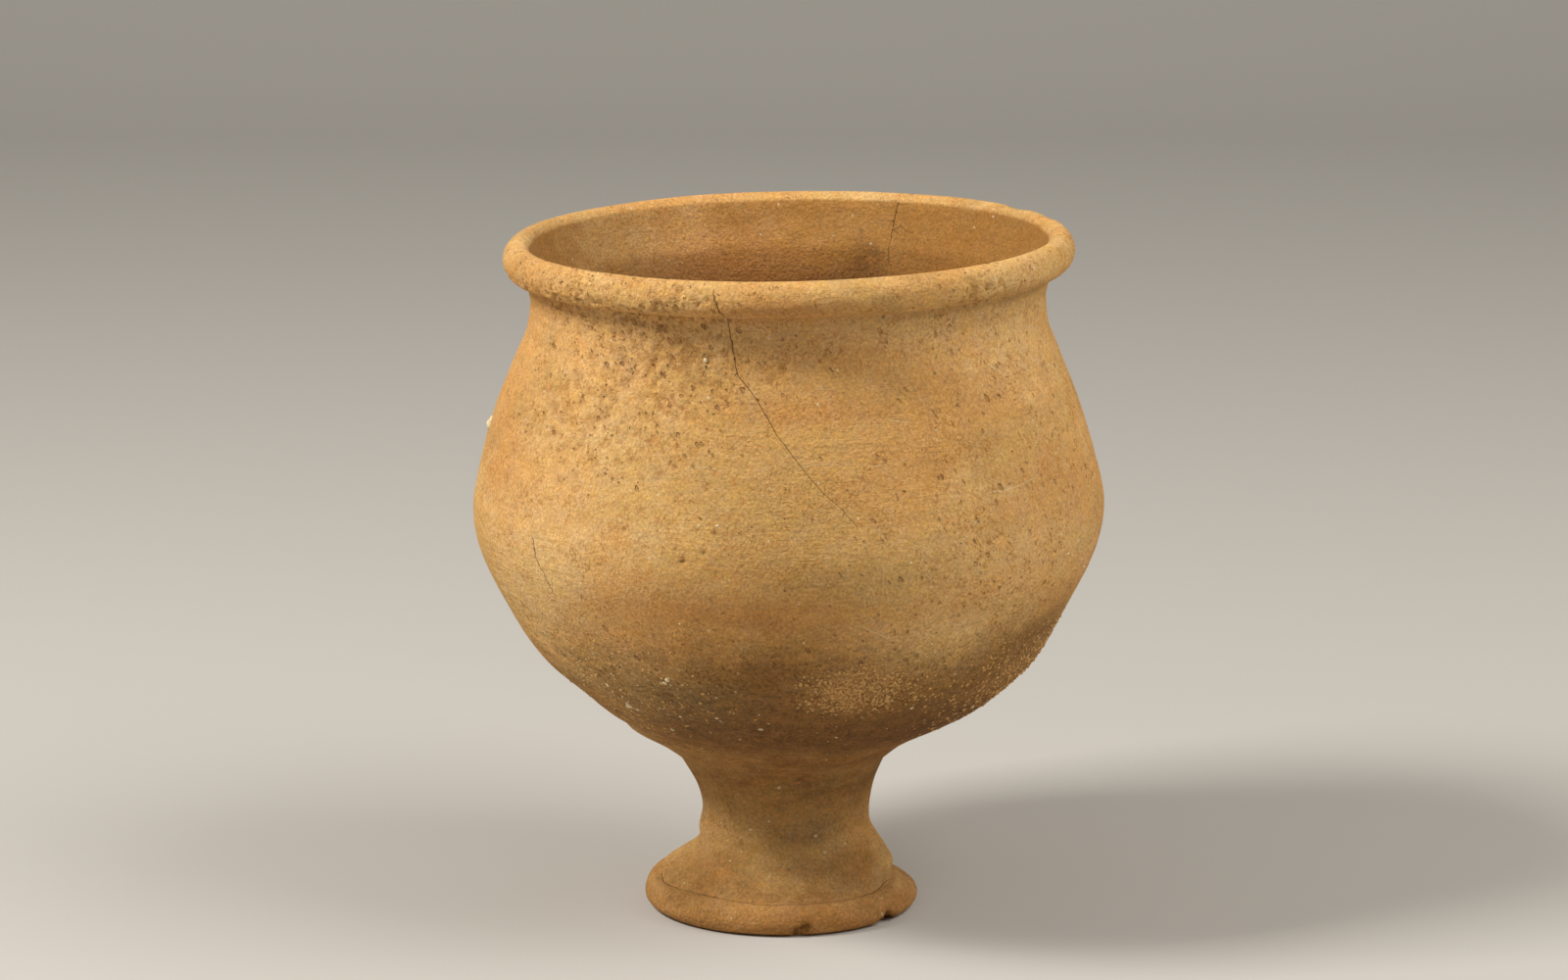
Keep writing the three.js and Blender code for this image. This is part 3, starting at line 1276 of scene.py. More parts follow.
    stains: tuple[Stain, ...] = (
        *alike(Trace.DULL, (
            (-4.0, 104.0, 28.0, 34.0, 0.8), (14.0, 122.0, 22.0, 12.0, 0.5),
            (20.0, 84.0, 26.0, 12.0, 0.5),
        )),
        *alike(Trace.PALE, (
            (-52.0, 128.0, 22.0, 10.0, 0.3), (-46.0, 104.0, 26.0, 22.0, 0.5),
            (-50.0, 82.0, 22.0, 12.0, 0.6), (60.0, 126.0, 22.0, 10.0, 0.7),
            # (8, 133.5) is painted light: it lifts the rim's shadow on the neck in front.
            (34.0, 88.0, 26.0, 12.0, 0.45), (-40.0, 142.0, 40.0, 4.0, 0.3), (8.0, 133.5, 36.0, 5.0, 0.9),
            (52.0, 142.0, 22.0, 4.0, 0.45), (-50.0, 24.0, 18.0, 7.0, 0.45),
            (62.0, 86.0, 22.0, 14.0, 0.4), (28.0, 70.0, 20.0, 8.0, 0.7), (-58.0, 72.0, 16.0, 10.0, 0.5),
        )),
        # Painted light: lightens the inner wall's painted shade at the back left.
        Stain(Trace.PALE, -145.0, 136.0, 34.0, 14.0, 0.5, skin=Skin.INSIDE),
        # Ingrained earth, and painted shade: the bands all round at 50, 28 and 4 mm darken the lower bowl,
        # the stem and the foot where shade falls.
        *alike(Trace.DIRT_AND_SHADE, (
            (4.0, 52.0, 42.0, 16.0, 0.8), (0.0, 50.0, 900.0, 13.0, 0.35), (-2.0, 64.0, 26.0, 12.0, 0.28),
            (-5.0, 57.0, 12.0, 6.0, 0.2), (62.0, 54.0, 20.0, 9.0, 0.5), (62.0, 65.0, 20.0, 8.0, 0.7),
            (-52.0, 10.0, 14.0, 5.0, 0.5), (0.0, 28.0, 900.0, 9.0, 0.55), (5.0, 18.0, 14.0, 7.0, 0.3),
            (0.0, 4.0, 900.0, 8.0, 0.5), (44.0, 12.0, 14.0, 5.0, 0.45),
        )),
        *alike(Trace.ASH, (
            (-38.0, 62.0, 24.0, 11.0, 0.65), (-28.0, 54.0, 18.0, 8.0, 0.5), (20.0, 19.0, 8.0, 6.0, 0.6),
        )),
        *alike(Trace.RUST, (
            (0.0, 3.0, 900.0, 4.0, 0.85), (0.0, 139.0, 24.0, 3.0, 0.7), (55.0, 98.0, 22.0, 12.0, 0.6),
            (-70.0, 100.0, 14.0, 16.0, 0.45), (4.0, 118.0, 16.0, 3.0, 0.7), (4.0, 131.0, 26.0, 5.0, 0.5),
            (-10.0, 78.0, 40.0, 4.0, 0.6), (10.0, 38.0, 34.0, 5.0, 0.7),
        )),
        *alike(Trace.SOOT_AND_SHADE, (
            (160.6, 131.0, 4.6, 6.0, 0.5), (168.0, 124.0, 16.0, 7.0, 0.3),
        ), Skin.INSIDE),
        Stain(Trace.RUST, -165.0, 130.0, 22.0, 9.0, 0.8, skin=Skin.INSIDE),
        # Smoke stains, and painted shade: this ring round the join of bowl and stem darkens it where the
        # bowl's shade falls.
        *alike(Trace.SOOT_AND_SHADE, (
            (5.0, 46.0, 60.0, 5.0, 0.6), (-15.0, 54.0, 30.0, 6.0, 0.4), (60.0, 50.0, 30.0, 7.0, 0.5),
            (15.0, 33.0, 24.0, 7.0, 0.45), (14.0, 20.0, 8.0, 4.0, 0.4), (155.0, 48.0, 60.0, 8.0, 0.5),
            (-140.0, 52.0, 40.0, 8.0, 0.5),
        )),
        *alike(Trace.CRUST, (
            (13.0, 60.0, 12.0, 5.5, 0.9, 0.45), (68.0, 56.0, 24.0, 10.0, 0.8, 0.3),
            (-50.0, 50.0, 13.0, 6.0, 0.6, 0.2),
        )),
        *alike(Trace.PITTED, (
            (-38.0, 121.0, 28.0, 16.0, 0.85), (-46.0, 139.5, 34.0, 6.0, 0.8),
            (40.0, 141.0, 9.0, 4.0, 0.8), (52.0, 108.0, 44.0, 28.0, 0.35),
            (-30.0, 62.0, 40.0, 14.0, 0.5), (40.0, 68.0, 44.0, 16.0, 0.5),
            (170.0, 110.0, 60.0, 26.0, 0.4),
        )),
    )

    def mark(self, surface: Surface) -> None:
        """Wears a surface.

        Args:
            surface: the surface.
        """
        draw = np.random.default_rng(SEED)
        # The whole inner wall takes the inside colour, painted shade among it.
        surface.traces[Trace.INSIDE] = np.where(surface.is_on(Skin.INSIDE), 1.0, 0.0)
        for patch in self.patches:
            patch.mark(surface, draw)
        for pit in self.pits:
            pit.sink(surface, surface.find(pit.facing, pit.height))
        for stain in self.stains:
            stain.mark(surface)
        for stroke in self.strokes:
            stroke.mark(surface)
        for chip in self.chips:
            chip.break_off(surface)


def linear(red: float, green: float, blue: float) -> tuple[float, float, float, float]:
    """A colour as a shader takes it.

    Args:
        red: the red on a screen, up to 255.
        green: the green.
        blue: the blue.

    Returns:
        The colour in linear light, and opaque.
    """
    levels = [level / SCREEN_FULL for level in (red, green, blue)]
    red, green, blue = (
        level / SRGB_SLOPE if level <= SRGB_TOE
        else ((level + SRGB_OFFSET) / (1.0 + SRGB_OFFSET)) ** SRGB_POWER
        for level in levels
    )
    return red, green, blue, 1.0


@dataclass(frozen=True)
class ClayPalette:
    """The colours of the fired clay and of what lies on it, painted light and shade among them.

    Attributes:
        tan: the clay itself.
        orange: where the kiln was hotter.
        pale: where a dry film lies on it, and painted light on the neck under the rim and inside the bowl.
        olive: where it is dull.
        brown: its brown grains.
        rust: where iron has bled.
        hollow: painted shade on the floors of pits, and the dark brown of some crust crumbs.
        crack: the depths of cracks, the painted shade in the foot's crease, and the clay's dark grains.
        scuff: freshly scratched clay.
        ash: greyish burial stains.
        soot_and_shade: near-black smoke stains, and painted shade round the join under the bowl.
        crust: what clings to it low down.
        inside: the inner wall's own orange-brown, with painted shade of the bowl's inside in it.
        dirt_and_shade: ingrained earth, and painted shade low on the goblet and on the foot.
        lime: lime that came up through it.
    """

    tan: tuple = linear(205, 161, 97)
    orange: tuple = linear(206, 150, 85)
    pale: tuple = linear(224, 184, 124)
    olive: tuple = linear(178, 138, 80)
    brown: tuple = linear(146, 100, 52)
    rust: tuple = linear(188, 126, 68)
    hollow: tuple = linear(132, 80, 36)
    crack: tuple = linear(66, 42, 22)
    scuff: tuple = linear(230, 200, 148)
    ash: tuple = linear(152, 124, 80)
    soot_and_shade: tuple = linear(98, 64, 38)
    crust: tuple = linear(200, 154, 99)
    inside: tuple = linear(146, 98, 40)
    dirt_and_shade: tuple = linear(118, 82, 40)
    lime: tuple = linear(226, 208, 168)


@dataclass(frozen=True)
class Patches:
    """Soft-edged patches of noise.

    Attributes:
        size: how wide they are, in millimetres.
        low: the noise at their edge.
        high: the noise in their middle.
        strength: how much of them shows there.
        flat: how many times wider than high they are.
        detail: how many finer layers their edges have.
        rough: how strong those layers are.
        warp: how far they are pulled about.
    """

    size: float
    low: float
    high: float
    strength: float
    flat: float = 1.0
    detail: float = 5.0
    rough: float = 0.62
    warp: float = 0.4


class ClayFinish:
    """Shared ways of colouring and roughening clay, on Object coordinates in millimetres."""

    def __init__(self, name: str) -> None:
        """Starts a material.

        Args:
            name: the material's name.
        """
        self.made = bpy.data.materials.new(name)
        self.made.use_nodes = True
        self.graph = Graph(self.made.node_tree)
        self.graph.tree.nodes.clear()
        self.place = self.graph.millimetres(self.graph.add("ShaderNodeTexCoord").outputs["Object"])

    def trace(self, trace: Trace) -> bpy.types.NodeSocket:
        """A trace of wear that the corners carry."""
        return self.graph.add("ShaderNodeAttribute", attribute_name=trace.value).outputs["Fac"]

    def lay(self, under: Value, over: Value, share: Value, blend: str = "MIX") -> Value:
        """Lays one colour over another, by its share or by another way of blending."""
        inputs = {0: share, 6: under, 7: over}
        return self.graph.add("ShaderNodeMix", inputs, data_type="RGBA", blend_type=blend).outputs[2]

    def patchy(self, patches: Patches) -> Value:
        """Where soft-edged patches show.

        Args:
            patches: the patches.

        Returns:
            How much of them shows.
        """
        spread = self.graph.stretched(self.place, 1.0 / patches.flat, 1.0 / patches.flat, 1.0)
        cloud = self.graph.noise(spread, patches.size, patches.detail, patches.rough, patches.warp)
        return self.graph.ease(cloud, patches.low, patches.high, 0.0, patches.strength)

    def streaks(self, across: float, size: float, detail: float, rough: float) -> Value:
        """Noise that the wheel drew out level, slower across by a share."""
        drawn = self.graph.stretched(self.place, across, across, 1.0)
        return self.graph.noise(drawn, size, detail, rough)

    def jitter(self, size: float, reach: float) -> Value:
        """The place, pushed about a little for uneven outlines.

        Args:
            size: how wide the noise that pushes it is.
            reach: how far it is pushed.

        Returns:
            The new place.
        """
        graph = self.graph
        cloud = graph.add("ShaderNodeTexNoise", {"Vector": self.place, "Scale": 1.0 / size, "Detail": 2.0})
        centred = graph.vector("SUBTRACT", cloud.outputs["Color"], (0.5, 0.5, 0.5))
        wide = 2.0 * reach
        return graph.vector("ADD", self.place, graph.stretched(centred, wide, wide, wide))

    def shade(self, colour: Value, value: Value, dark: Value, light: Value) -> Value:
        """Makes a colour darker and lighter by noise.

        Args:
            colour: the colour.
            value: the noise.
            dark: how dark it gets.
            light: how light it gets.

        Returns:
            The colour after.
        """
        low, high = NOISE_RANGE
        inputs = {0: value, 1: low, 2: high, 3: dark, 4: light}
        level = self.graph.add("ShaderNodeMapRange", inputs).outputs[0]
        return self.lay(colour, self.graph.combine(level, level, level), 1.0, "MULTIPLY")

    def finish(self, colour: Value, height: Value, roughness: float, gloss: float) -> bpy.types.Material:
        """Ends the material.

        Args:
            colour: its colour.
            height: its relief in millimetres, finer than the facets.
            roughness: how matt it is.
            gloss: how strong its reflections are.

        Returns:
            The material.
        """
        bump = self.graph.add("ShaderNodeBump", {"Strength": 1.0, "Distance": MM, "Height": height})
        shader = self.graph.add("ShaderNodeBsdfPrincipled", {
            "Base Color": colour, "Roughness": roughness, "Specular IOR Level": gloss,
            "Normal": bump.outputs[0]})
        self.graph.add("ShaderNodeOutputMaterial", {"Surface": shader.outputs[0]})
        return self.made


@dataclass(frozen=True)
class TerracottaFinish:
    """Unglazed fired clay: tan to orange, sandy, streaked by the wheel, pitted, cracked and sooted, with
    painted shade and light in its colour.

    Sizes are in millimetres.

    Attributes:
        palette: its colours.
        roughness: how matt it is.
        gloss: how strong its reflections are.
        lower_top: the heights between which the lower bowl begins, where the sand is coarser.
        lower_foot: the heights between which it ends.
        slant: how the small pits lie, in degrees.
        crack_width: the half width of a crack line at full strength, the painted shade in the foot's crease
            included.
        scuff_width: the half width of a scratch at full strength.
        depths: how deep small pits, cracks and scratches are.
        shows: how strongly the painted shade of small pits and of larger pits, the scratches and the dark
            crack lines are coloured.
    """

    palette: ClayPalette = ClayPalette()
    roughness: float = 0.93
    gloss: float = 0.16
    lower_top: tuple[float, float] = (80.0, 60.0)
    lower_foot: tuple[float, float] = (32.0, 44.0)
    slant: float = 38.0
    crack_width: float = 0.15
    scuff_width: float = 0.24
    depths: tuple[float, float, float] = (0.6, 0.3, 0.06)
    shows: tuple[float, float, float, float] = (0.34, 0.3, 0.55, 0.9)

    def material(self) -> bpy.types.Material:
        """Builds the clay.

        Returns:
            The material.
        """
        clay = ClayFinish("terracotta_clay")
        graph, palette = clay.graph, self.palette
        pitted = clay.trace(Trace.PITTED)
        pits = self._small_pits(clay, pitted)
        crack, groove = self._line(clay, Trace.CRACK_AND_SHADE_SIDE, Trace.CRACK_AND_SHADE_FORCE, self.crack_width)
        scuff, scrape = self._line(clay, Trace.SCUFF_SIDE, Trace.SCUFF_FORCE, self.scuff_width)
        colour = self._stained(clay, self._fired(clay))
        colour = self._grit(clay, self._sandy(clay, colour))
        # Painted shade in small and larger pits; pale scratches; dark crack lines, which also paint the shade
        # in the foot's crease.
        marks = ((palette.hollow, pits), (palette.hollow, clay.trace(Trace.PIT_SHADE)),
                 (palette.scuff, scuff), (palette.crack, crack))
        for (tint, share), strength in zip(marks, self.shows):
            colour = clay.lay(colour, tint, graph.times(share, strength))
        sunk = [graph.times(shape, -depth) for shape, depth in zip((pits, groove, scrape), self.depths)]
        height = graph.total([self._sandy_relief(clay, pitted), self._wheel_relief(clay), *sunk])
        return clay.finish(colour, height, self.roughness, self.gloss)

    def _fired(self, clay: ClayFinish) -> Value:
        """The clay as it came from the kiln and the ground.

        Args:
            clay: the material.

        Returns:
            Its colour: tones, groups of pale flecks, and level bands.
        """
        palette = self.palette
        colour: Value = palette.tan
        tones = (
            (palette.orange, Patches(36.0, 0.42, 0.6, 0.75, 1.3, 3.0)),
            (palette.olive, Patches(21.0, 0.5, 0.7, 0.6, 1.4)),
            (palette.pale, Patches(15.0, 0.5, 0.72, 0.65, 1.4, 6.0, 0.68)),
            (palette.orange, Patches(8.0, 0.52, 0.68, 0.6, 1.2, 5.0, 0.66)),
        )
        for tint, patches in tones:
            colour = clay.lay(colour, tint, clay.patchy(patches))
        groups = clay.patchy(Patches(10.0, 0.45, 0.6, 1.0))
        flecks = clay.patchy(Patches(0.9, 0.6, 0.72, 0.6, 1.6))
        colour = clay.lay(colour, palette.pale, clay.graph.times(groups, flecks))
        bands = clay.streaks(across=0.05, size=3.2, detail=5.0, rough=0.62)
        return clay.shade(colour, bands, dark=0.91, light=1.09)

    def _sandy(self, clay: ClayFinish, colour: Value) -> Value:
        """Varies a colour from grain to grain: lighter, darker, warmer, and brown in loose groups.

        Args:
            clay: the material.
            colour: the colour before.

        Returns:
            The colour after.
        """
        graph = clay.graph
        height = graph.split(clay.place)[2]
        lower = graph.times(graph.ease(height, *self.lower_top), graph.ease(height, *self.lower_foot))
        sand = graph.noise(clay.place, size=0.6, detail=2.0, rough=0.6)
        colour = clay.shade(colour, sand, dark=graph.scaled(lower, -0.16, plus=0.72),
                            light=graph.scaled(lower, 0.18, plus=1.28))
        smeared = graph.stretched(clay.place, x=0.5, y=0.5, z=1.3)
        smears = graph.noise(smeared, size=2.2, detail=5.0, rough=0.7)
        colour = clay.shade(colour, smears, dark=graph.scaled(lower, -0.22, plus=0.9),
                            light=graph.scaled(lower, 0.24, plus=1.1))
        small_hue = graph.noise(clay.place, size=1.0, detail=3.0, rough=0.7)
        large_hue = graph.noise(clay.place, size=5.0, detail=4.0, rough=0.7)
        hue = graph.total([small_hue, large_hue, -1.0])
        red, blue = graph.scaled(hue, 0.12, plus=1.0), graph.scaled(hue, -0.7, plus=1.0)
        colour = clay.lay(colour, graph.combine(red, 1.0, blue), 1.0, "MULTIPLY")
        warm = graph.times(clay.patchy(Patches(1.5, 0.5, 0.7, 0.55, 1.3, 4.0, 0.75, 0.0)),
                           graph.scaled(lower, -0.5, plus=1.0))
        colour = clay.lay(colour, self.palette.rust, warm)
        groups = clay.patchy(Patches(8.0, 0.46, 0.58, 1.0, 1.2))
        grains = clay.patchy(Patches(1.0, 0.52, 0.64, 0.7, 1.0, 3.0, 0.7, 1.2))
        return clay.lay(colour, self.palette.brown, graph.times(groups, grains))

    def _grit(self, clay: ClayFinish, colour: Value) -> Value:
        """Lays single dark and pale grains over a colour.

        Args:
            clay: the material.
            colour: the colour before.

        Returns:
            The colour after.
        """
        graph, palette = clay.graph, self.palette
        warped = clay.jitter(size=0.8, reach=0.5)
        fade, edge, full = 0.05, 0.2, 0.08
        for spacing, tint, rare, strength in (
            (2.3, palette.crack, 0.9, 0.4), (1.6, palette.brown, 0.7, 0.6), (2.0, palette.lime, 0.88, 0.6),
        ):
            cells = graph.add("ShaderNodeTexVoronoi", {"Vector": warped, "Scale": 1.0 / spacing})
            chosen = graph.ease(graph.split(cells.outputs["Color"])[0], rare, rare + fade)
            dot = graph.ease(cells.outputs["Distance"], edge, full)
            colour = clay.lay(colour, tint, graph.times(graph.times(dot, chosen), strength))
        return colour

    def _small_pits(self, clay: ClayFinish, pitted: Value) -> Value:
        """Pits too small for the facets, dense where the skin is pitted and rare elsewhere.

        Args:
            clay: the material.
            pitted: how pitted the skin is.

        Returns:
            How deep in a pit a place is, from 0 to 1.
        """
        graph = clay.graph
        turn = {"Vector": clay.jitter(size=0.7, reach=0.35), "Angle": math.radians(self.slant)}
        turned = graph.add("ShaderNodeVectorRotate", turn, rotation_type="Y_AXIS").outputs[0]
        long = graph.stretched(turned, x=1.0, y=1.0, z=0.5)
        crowd, fade, floor = 0.75, 0.12, 0.6
        deepest: Value = 0.0
        for spacing, rare in ((1.9, 0.96), (1.15, 0.94)):
            cells = graph.add("ShaderNodeTexVoronoi", {"Vector": long, "Scale": 1.0 / spacing})
            _, chance, wide = graph.split(cells.outputs["Color"])
            least = graph.scaled(pitted, -crowd, rare)
            chosen = graph.ease(chance, least, graph.math("ADD", least, fade))
            edge = graph.scaled(wide, 0.16, plus=0.14)
            hole = graph.ease(cells.outputs["Distance"], edge, graph.times(edge, floor))
            deepest = graph.math("MAXIMUM", deepest, graph.times(hole, chosen))
        return deepest

    @staticmethod
    def _line(clay: ClayFinish, side: Trace, force: Trace, width: float) -> tuple[Value, Value]:
        """A crack or a scratch, drawn where the skin's sideways distance from it is small.

        Args:
            clay: the material.
            side: the trace that holds the distance.
            force: the trace that holds its strength.
            width: its half width at full strength.

        Returns:
            How much of the line shows, and how deep its groove is.
        """
        graph = clay.graph
        core, spread, faint, strong = 0.3, 1.8, 0.02, 0.45
        wander = graph.centred(graph.noise(clay.place, size=2.2, detail=3.0, rough=0.6), height=0.6)
        away = graph.math("ABSOLUTE", graph.math("ADD", clay.trace(side), wander))
        strength = clay.trace(force)
        uneven = graph.scaled(graph.noise(clay.place, size=0.9, detail=2.0), 1.2, plus=0.4)
        half = graph.times(graph.times(strength, uneven), width)
        line = graph.ease(away, half, graph.times(half, core))
        groove = graph.ease(away, graph.times(half, spread), 0.0)
        return graph.times(line, graph.ease(strength, faint, strong)), graph.times(groove, strength)

    def _stained(self, clay: ClayFinish, colour: Value) -> Value:
        """Lays films, rust, dirt_and_shade, ash, soot_and_shade and crust over a colour, painted shade and
        light among them.

        Args:
            clay: the material.
            colour: the colour before.

        Returns:
            The colour after.
        """
        graph, palette = clay.graph, self.palette
        flat = graph.stretched(clay.place, x=1.0, y=1.0, z=1.8)
        cloud = graph.minus(graph.noise(flat, size=8.0, detail=6.0, rough=0.68), 0.5)
        clear = 0.25
        # The inside colour, dirt_and_shade and soot_and_shade carry painted shade besides the stains, and
        # some pale films carry painted light.
        for trace, tint, strength, ragged in (
            (Trace.INSIDE, palette.inside, 0.8, 0.5), (Trace.DULL, palette.olive, 0.6, 1.0),
            (Trace.PALE, palette.pale, 0.62, 1.2), (Trace.RUST, palette.rust, 0.55, 1.2),
            (Trace.DIRT_AND_SHADE, palette.dirt_and_shade, 0.9, 0.7), (Trace.ASH, palette.ash, 0.6, 1.0),
            (Trace.SOOT_AND_SHADE, palette.soot_and_shade, 0.75, 1.1), (Trace.CRUST, palette.crust, 0.4, 1.4),
        ):
            held = clay.trace(trace)
            share = graph.ease(graph.scaled(cloud, ragged, held), 0.0, 1.0, 0.0, strength)
            colour = clay.lay(colour, tint, graph.times(share, graph.ease(held, 0.0, clear)))
        return colour

    @staticmethod
    def _sandy_relief(clay: ClayFinish, pitted: Value) -> Value:
        """The sandy feel of the skin, coarser where it is pitted and where the dirt_and_shade mask lies.

        Args:
            clay: the material.
            pitted: how pitted the skin is.

        Returns:
            The relief, in millimetres.
        """
        graph = clay.graph
        fine = graph.centred(graph.noise(clay.place, size=0.7, detail=3.0, rough=0.7), height=0.34)
        coarse = graph.centred(graph.noise(clay.place, size=1.8, detail=3.0, rough=0.6), height=0.5)
        on_pits, on_dirt_and_shade, everywhere = 0.3, 0.9, 0.5
        dirt_and_shade = clay.trace(Trace.DIRT_AND_SHADE)
        rough = graph.total([graph.times(pitted, on_pits), graph.times(dirt_and_shade, on_dirt_and_shade), everywhere])
        return graph.scaled(coarse, rough, fine)

    @staticmethod
    def _wheel_relief(clay: ClayFinish) -> Value:
        """Fine level lines that the wheel drew, in patches.

        Args:
            clay: the material.

        Returns:
            The relief, in millimetres.
        """
        lines = clay.graph.minus(clay.streaks(across=0.06, size=0.9, detail=3.0, rough=0.65), 0.5)
        where, least = clay.patchy(Patches(22.0, 0.4, 0.62, 0.24, 1.6, 2.0)), 0.03
        return clay.graph.times(lines, clay.graph.math("ADD", where, least))


@dataclass(frozen=True)
class LimeFinish:
    """Lime: chalky, cream coloured and dusty.

    Attributes:
        palette: its colours.
        roughness: how matt it is.
        gloss: how strong its reflections are.
    """

    palette: ClayPalette = ClayPalette()
    roughness: float = 0.95
    gloss: float = 0.1

    def material(self) -> bpy.types.Material:
        """Builds the lime.

        Returns:
            The material.
        """
        lime = ClayFinish("lime")
        colour = lime.lay(self.palette.lime, self.palette.tan, lime.patchy(Patches(0.8, 0.45, 0.7, 0.6)))
        dust = lime.graph.noise(lime.place, size=0.5, detail=3.0)
        colour = lime.shade(colour, dust, dark=0.85, light=1.12)
        height = lime.graph.times(lime.graph.noise(lime.place, size=0.4, detail=3.0), by=0.12)
        return lime.finish(colour, height, self.roughness, self.gloss)


@dataclass(frozen=True)
class CrumbFinish:
    """Crumbs of burial crust: pinkish buff to brown, each a little different.

    Attributes:
        palette: its colours.
        roughness: how matt it is.
        gloss: how strong its reflections are.
    """

    palette: ClayPalette = ClayPalette()
    roughness: float = 0.95
    gloss: float = 0.1

    def material(self) -> bpy.types.Material:
        """Builds the crust.

        Returns:
            The material.
        """
        crust = ClayFinish("burial_crust")
        colour: Value = self.palette.crust
        for tint, patches in ((self.palette.tan, Patches(1.1, 0.4, 0.6, 0.9, detail=2.0)),
                              (self.palette.hollow, Patches(0.9, 0.5, 0.66, 0.7, detail=3.0))):
            colour = crust.lay(colour, tint, crust.patchy(patches))
        height = crust.graph.times(crust.graph.noise(crust.place, size=0.35, detail=3.0), by=0.12)
        return crust.finish(colour, height, self.roughness, self.gloss)


@dataclass
class GobletBody:
    """The goblet itself: thrown on the wheel, settled, fired and worn.

    Attributes:
        section: its turned section.
        hand: how far it strays from that.
        wear: what age has done to it.
        finish: its clay.
        wave_height: how high the waves that the hand left are.
        line_height: how high the wheel lines are.
        grain_height: how high the grain is where the skin is pitted in full.
        grain_least: how much more of it there is everywhere.
    """

    section: Section
    hand: HandMade
    wear: Wear
    finish: TerracottaFinish
    wave_height: float = 0.35 * MM
    line_height: float = 0.16 * MM
    grain_height: float = 0.2 * MM
    grain_least: float = 0.4

    def build(self) -> bpy.types.Object:
        """Throws and wears the goblet.

        Returns:
            The finished piece.
        """
        pattern = Pattern(self.section)
        pattern.refine()
        clay = self.finish.material()
        thrown = self.hand.turning_tree(self.section, clay).make(self._flat_mesh(pattern), "goblet_thrown")
        source = thrown.data
        self.surface = self._worn_surface(source, pattern)
        for trace, values in self.surface.traces.items():
            self._store(source, trace.value, values)
        self._store(source, LIFT, self.surface.lift * MM)
        bpy.data.objects.remove(thrown)
        return self._weathering_tree(clay).make(source, "goblet_body")

    def _flat_mesh(self, pattern: Pattern) -> bpy.types.Mesh:
        """Lays the facets out flat.

        Args:
            pattern: the facets.

        Returns:
            A mesh with turn, radius and height as X, Y and Z.
        """
        turns = np.arctan2(pattern.ways[:, 0], pattern.ways[:, 1])
        mesh = bpy.data.meshes.new("goblet_pattern")
        corners = np.column_stack([turns, pattern.profile(pattern.along)])
        mesh.from_pydata(corners, [], pattern.facets.tolist())
        return mesh

    def _worn_surface(self, mesh: bpy.types.Mesh, pattern: Pattern) -> Surface:
        """Wears the thrown form.

        Args:
            mesh: the thrown form.
            pattern: the pattern that it was thrown from.

        Returns:
            The surface, with its lift and its traces.
        """
        places, normals = np.zeros(len(mesh.vertices) * 3), np.zeros(len(mesh.vertices) * 3)
        mesh.vertices.foreach_get("co", places)
        mesh.vertex_normals.foreach_get("vector", normals)
        places = places.reshape(-1, 3) / MM
        corners = places[pattern.facets]
        crossed = np.cross(corners[:, 1] - corners[:, 0], corners[:, 2] - corners[:, 0])
        facet_areas = np.linalg.norm(crossed, axis=1) / 2.0
        areas = np.bincount(pattern.facets.ravel(), np.repeat(facet_areas / 3.0, 3), len(places))
        surface = Surface(places, normals.reshape(-1, 3), pattern.zone_of(pattern.along), areas)
        self.wear.mark(surface)
        return surface

    @staticmethod
    def _store(mesh: bpy.types.Mesh, name: str, values: np.ndarray) -> None:
        """Keeps a number for each corner of a mesh."""
        mesh.attributes.new(name, "FLOAT", "POINT").data.foreach_set("value", values.astype(np.float32))

    def _weathering_tree(self, clay: bpy.types.Material) -> GeometryTree:
        """Writes the tree that lifts and sinks the skin: wheel lines, waves of the hand, grain and wear.

        Args:
            clay: what the skin is made of.

        Returns:
            The tree. The mesh that goes in holds its lift and how pitted it is.
        """
        tree = GeometryTree("Worn by hand and time")
        wave = tree.given("Wave Height", self.wave_height)
        line = tree.given("Wheel Line Height", self.line_height)
        grain = tree.given("Grain Height", self.grain_height)
        place = tree.millimetres(tree.here())
        drawn = tree.stretched(place, x=0.03, y=0.03, z=1.0)
        waves = tree.times(tree.minus(tree.noise(place, size=22.0, detail=1.0), 0.5), wave)
        wheel = tree.times(tree.minus(tree.noise(drawn, size=2.8, detail=3.0, rough=0.6), 0.5), line)
        fine = tree.times(tree.minus(tree.noise(place, size=2.2, detail=3.0, rough=0.6), 0.5), grain)
        fine = tree.times(fine, tree.math("ADD", tree.attribute(Trace.PITTED.value), self.grain_least))
        moved = tree.push(tree.entry.outputs[0], tree.total([tree.attribute(LIFT), waves, wheel, fine]))
        x, y, z = tree.split(tree.here())
        grounded = tree.combine(x, y, tree.math("MAXIMUM", z, 0.0))
        flat = tree.add("GeometryNodeSetPosition", {"Geometry": moved, "Position": grounded}).outputs[0]
        tree.finish(flat, clay)
        return tree


@dataclass(frozen=True)
class Grain:
    """One lump that sits in the skin.

    Attributes:
        facing: its direction in degrees, from the front towards the right.
        height: its height in millimetres.
        size: its half width in millimetres.
    """

    facing: float
    height: float
    size: float


